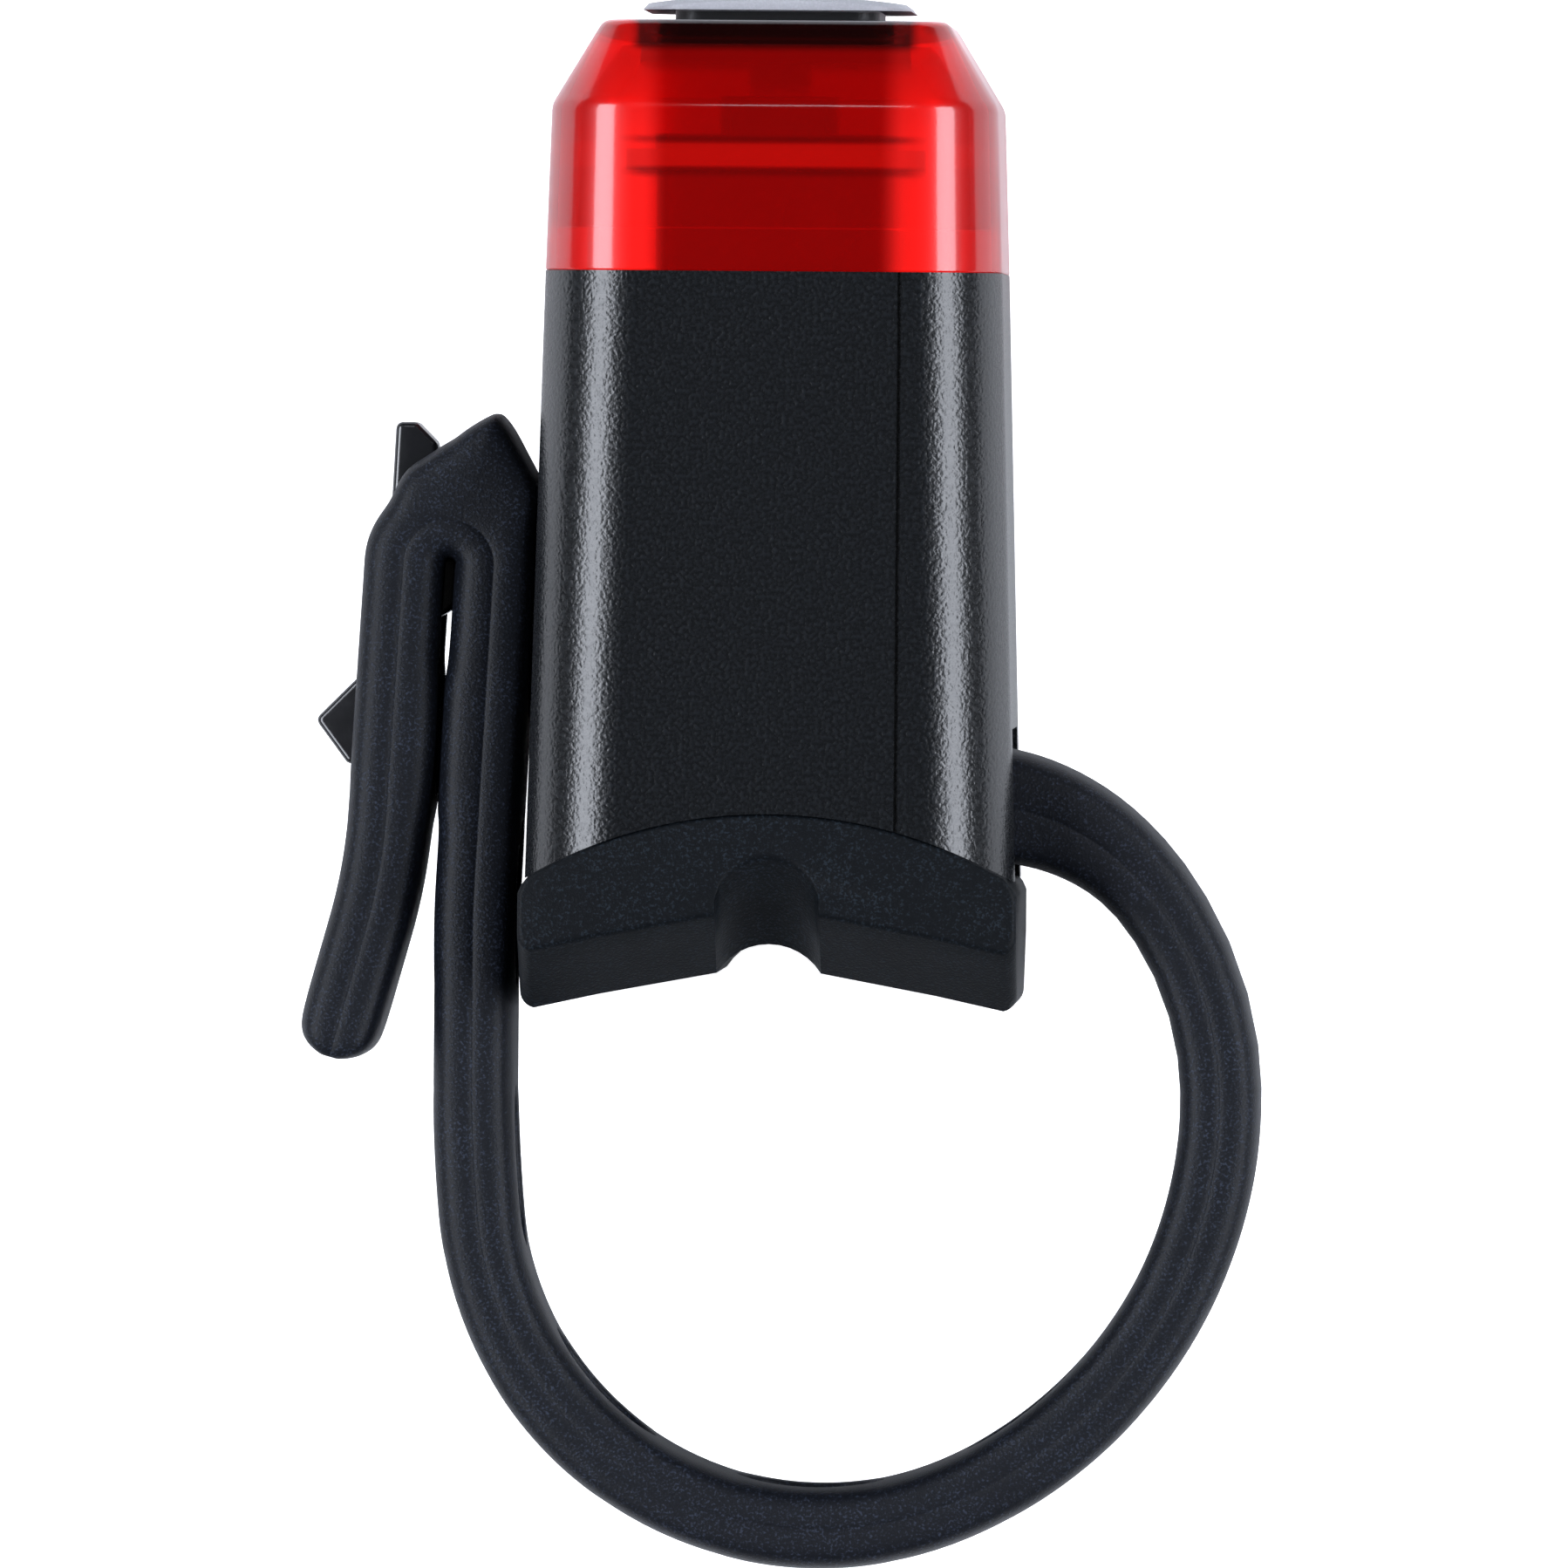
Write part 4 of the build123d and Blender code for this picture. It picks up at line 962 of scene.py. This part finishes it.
# %% Hook
wall_x = (seam_width + (rear_width - seam_width) * -seam_y / (rear_y - seam_y)) / 2
hook_half_width = 2.3
arm_low_y, arm_thickness = 1.7, 2.5
arm_high_y = arm_low_y - arm_thickness
hook_wall, hook_ledge = 1.8, 0.9
hook_slant, hook_corner, hook_edge = 0.8, 0.42, 0.3
neck_x, horn_x = wall_x + 5.05, wall_x + 7.55
nose_x, inner_x = wall_x + 11.65, wall_x + 5.5
arm_end_x = wall_x + 5.0
horn_top, horn_width = -7.8, 2.1
nose_y, foot_y, inner_foot_y, flank_run, foot_run = 7.7, 10.0, 8.2, 2.4, 1.7
cavity_x = seam_width / 2 - hook_wall - hook_ledge
hook_outline = [
    (cavity_x, arm_low_y), (cavity_x, arm_high_y), (arm_end_x - hook_slant, arm_high_y),
    (neck_x, arm_high_y - hook_slant),
    (horn_x - horn_width, horn_top + horn_width / 2), (horn_x - horn_width / 2, horn_top), (horn_x, horn_top),
    (horn_x + horn_width / 6, arm_high_y), (nose_x - flank_run, nose_y - flank_run), (nose_x, nose_y),
    (nose_x - foot_run, foot_y), (inner_x + flank_run, foot_y), (inner_x, inner_foot_y),
    (inner_x, arm_low_y + hook_slant), (arm_end_x - hook_slant, arm_low_y),
]
hook_low, hook_high = middle_z - hook_half_width, middle_z + hook_half_width
arm = skin(upright(round_corners(hook_outline, hook_corner), hook_low, hook_high, hook_edge))
flange_over, flange_thickness = 1.5, 1.1
flange_y = (arm_high_y - flange_over, arm_low_y + flange_over)
flange_z = (hook_low - flange_over, hook_high + flange_over)
flange_corners = [(flange_y[a], flange_z[b]) for a, b in ((0, 0), (1, 0), (1, 1), (0, 1))]
flange = skin([[(x, y, z) for y, z in flange_corners] for x in (cavity_x, cavity_x - flange_thickness)])
hook = finish_mesh(joined([arm, flange]), "hook", sharp_angle=45)
stands_in(hook, "strap_hook", hook_plastic)
print("hook:", len(hook.data.polygons), "faces")

# %% [markdown]
# ## The sign on the button
# The button carries the plain sign for power, a ring that is open at the top round a bar. It stands a tenth
# of a millimetre proud, as a mark cut into the mould does, and rays find the crowned face that it lies on.

# %% Power sign
sign_radius, sign_half_width, sign_opening = 2.3, 0.26, 38
sign_proud, sign_sunk = 0.1, 0.1
sign_ring_steps, sign_bar_start, sign_bar_step, sign_bar_points = 40, 0.6, 0.3, 9
ray_start_y = front_y - 10
button = frame["nodes"]["power_button"]
to_button = button.matrix_world.inverted()


def button_front(x, z):
    """The depth of the button's crowned face, in millimetres."""
    start = to_button @ (Vector((x, ray_start_y, middle_z + z)) * mm)
    place = button.ray_cast(start, to_button.to_3x3() @ Vector((0.0, 1.0, 0.0)))[1]
    return (button.matrix_world @ place).y / mm


def raised_line(points):
    """A narrow raised line along points in X and Z on the button's face."""
    loops = []
    for before, here, after in zip(points[:1] + points[:-1], points, points[1:] + points[-1:]):
        way = (Vector(after) - Vector(before)).normalized()
        across = Vector((way.y, -way.x)) * sign_half_width
        edges = [(here[0] + side * across.x, here[1] + side * across.y) for side in (-1, 1)]
        near, far = [(x, button_front(x, z), middle_z + z) for x, z in edges]
        loops.append([
            (near[0], near[1] - sign_proud, near[2]), (far[0], far[1] - sign_proud, far[2]),
            (far[0], far[1] + sign_sunk, far[2]), (near[0], near[1] + sign_sunk, near[2])])
    return skin(loops)


sign = joined([
    raised_line(arc((0.0, 0.0), sign_radius, 90 + sign_opening, 450 - sign_opening, sign_ring_steps)),
    raised_line([(0.0, sign_bar_start + sign_bar_step * i) for i in range(sign_bar_points)]),
])
sign = finish_mesh(sign, "power_sign", sharp_angle=40)
sign.data.materials.append(button_plastic)
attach(sign, body_of_node["power_button"])
print("sign:", len(sign.data.polygons), "faces")

# %% [markdown]
# ## Small rubber pieces
# The collar round the button, the gasket in the seam, the foam under the battery and the flap over the port
# are soft, so each gets rounded rims.

# %% Collar, gasket, foam and flap
def frame_ring(near_y, far_y, outer, inner, rim):
    """A rounded rectangular ring that stands across the light's depth."""
    loops = facing(rounded_box(*outer), near_y, far_y, rim)
    hole = [[(x, y, middle_z + z) for x, z in shrunk(rounded_box(*inner), -inset)]
            for inset, y in edge_profile(near_y, far_y, rim)]
    return skin(loops + list(reversed(hole)), closed=True)


def node_size(node):
    """Width, height, near and far depth of a node, in millimetres."""
    first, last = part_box(node)
    return (last.x - first.x) / mm, (last.z - first.z) / mm, first.y / mm, last.y / mm


# Each seal's piece, node, thickness of its frame, outer corner and rim
seals = (("collar", "button_collar", 1.0, 2.3, 0.15), ("gasket", "lens_gasket", 0.85, 2.82, 0.1))
for piece_name, node, wall, corner, rim in seals:
    width, height, near_y, far_y = node_size(node)
    hole = (width - 2 * wall, height - 2 * wall, corner - wall)
    seal = frame_ring(near_y, far_y, (width, height, corner), hole, rim)
    stands_in(finish_mesh(seal, piece_name), node, seal_rubber)

foam_corner, foam_rim = 2.0, 0.3
width, height, near_y, far_y = node_size("foam_block")
foam = skin(facing(rounded_box(width, height, foam_corner), near_y, far_y, foam_rim))
stands_in(finish_mesh(foam, "foam_pad"), "foam_block", foam_rubber)

flap_low, flap_high, flap_corner, flap_rim = 0.1, 1.0, 0.9, 0.12
plug_length, plug_width, plug_corner, plug_low, plug_rim = 8.54, 2.86, 1.42, 0.9, 0.15
bead_radius, bead_z, bead_rim, bead_turn, bead_steps = 0.45, 0.55, 0.1, 345, 23
first, last = (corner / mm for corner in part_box("port_flap"))
hinge_x = first.x + bead_radius
flap_outline = [(hinge_x, first.y), (last.x, first.y), (last.x, last.y), (hinge_x, last.y)]
plate = skin(upright(round_corners(flap_outline, flap_corner), flap_low, flap_high, flap_rim))
plug_outline = rounded_box(plug_length, plug_width, plug_corner)
port_y = (first.y + last.y) / 2
plug = skin(upright([(x, y + port_y) for x, y in plug_outline], plug_low, last.z, plug_rim))
bead_loops = []
for inset, y in edge_profile(first.y, last.y, bead_rim):
    circle = arc((hinge_x, bead_z), bead_radius - inset, 0, bead_turn, bead_steps)
    bead_loops.append([(x, y, z) for x, z in circle])
bead = skin(bead_loops)
stands_in(finish_mesh(joined([plate, plug, bead]), "flap_cover"), "port_flap", flap_rubber)
print("collar, gasket, foam and flap are in place")

# %% [markdown]
# ## Camera
# The photograph looks along the seatpost from above. The camera stands 1.4 metres away and leans a degree or
# two towards the lens and away from the hook. The picture's top is -Y and its right is -X.

# %% Camera
camera_distance = 1.4
view_width = 0.0815
target = Vector((-0.546, 10.87, 17.0)) * mm
lean_x, lean_y, roll = radians(-1.6), radians(-0.7), radians(0.45)
back = Vector((sin(lean_x), sin(lean_y), 1.0)).normalized()
up_hint = Vector((sin(roll), -cos(roll), 0.0))
right = up_hint.cross(back).normalized()
up = back.cross(right)
camera_data = bpy.data.cameras.new("camera")
camera_data.sensor_width = 36.0
camera_data.lens = camera_data.sensor_width * camera_distance / view_width
camera = bpy.data.objects.new("camera", camera_data)
camera.matrix_world = Matrix((right, up, back)).transposed().to_4x4()
camera.location = target + back * camera_distance
bpy.context.collection.objects.link(camera)
bpy.context.scene.camera = camera
print("focal length", round(camera_data.lens), "mm")

# %% [markdown]
# ## Light
# Two long strip lights stand left and right, about 45 degrees up, and give the housing's round edges their
# soft streaks. A small light over the lens side is turned away from the object and grazes it. A faint white
# surround fills the rest, and a white floor lies under the light.

# %% Lights, floor and surround
light_distance = 0.8
light_colour = (0.87, 0.91, 1.0)
strip_width, strip_length = 0.36, 0.9
graze_width, graze_angle, graze_power = 0.12, radians(32), 0.35
surround_strength = 0.03
floor_half, floor_drop, paper_glow = 1.5, 0.001, 0.85


def area_light(name, width, length, power, away, turn):
    """A rectangular light that stands off the target in a direction, turned as told."""
    data = bpy.data.lights.new(name, "AREA")
    data.shape = "RECTANGLE"
    data.size, data.size_y = width, length
    data.energy = power
    data.color = light_colour
    lamp = bpy.data.objects.new(name, data)
    bpy.context.collection.objects.link(lamp)
    lamp.location = target + away * light_distance
    lamp.rotation_euler = turn


strips = (("strip_left", 1, radians(42.5), 9.0), ("strip_right", -1, radians(46.5), 8.4))
for name, side, angle, power in strips:
    away = Vector((side * sin(angle), 0.0, cos(angle)))
    across = Vector((0.0, 1.0, 0.0)).cross(away).normalized()
    turn = Matrix((across, (0.0, 1.0, 0.0), away)).transposed().to_euler()
    area_light(name, strip_width, strip_length, power, away, turn)
away = Vector((0.0, -sin(graze_angle), cos(graze_angle)))
area_light("front_light", graze_width, graze_width, graze_power, away, (-graze_angle, 0.0, 0.0))

world = bpy.data.worlds.new("surround")
bpy.context.scene.world = world
world.use_nodes = True
nodes, links = world.node_tree.nodes, world.node_tree.links
ground = nodes["Background"]
ground.inputs["Color"].default_value = shade(1.0, 1.0, 1.0)
rays = nodes.new("ShaderNodeLightPath")
level = nodes.new("ShaderNodeMapRange")
links.new(rays.outputs["Is Camera Ray"], level.inputs["Value"])
level.inputs["To Min"].default_value = surround_strength
level.inputs["To Max"].default_value = 1.0
links.new(level.outputs["Result"], ground.inputs["Strength"])

floor_mesh = bmesh.new()
bmesh.ops.create_grid(floor_mesh, x_segments=1, y_segments=1, size=floor_half)
floor_data = bpy.data.meshes.new("floor")
floor_mesh.to_mesh(floor_data)
floor_mesh.free()
floor = bpy.data.objects.new("floor", floor_data)
floor.location.z = -floor_drop
bpy.context.collection.objects.link(floor)
paper = Finish("floor_paper")
rays = paper.node("ShaderNodeLightPath", {}, {}, "Is Camera Ray")
paper.set(Base_Color=shade(0.9, 0.9, 0.9), Roughness=0.9, Emission_Color=shade(1.0, 1.0, 1.0))
paper.feed(paper.shader.inputs["Emission Strength"], rays * paper_glow)
floor_data.materials.append(paper.material)

bpy.context.scene.view_settings.view_transform = "Standard"
print("three lights, a surround and a floor")
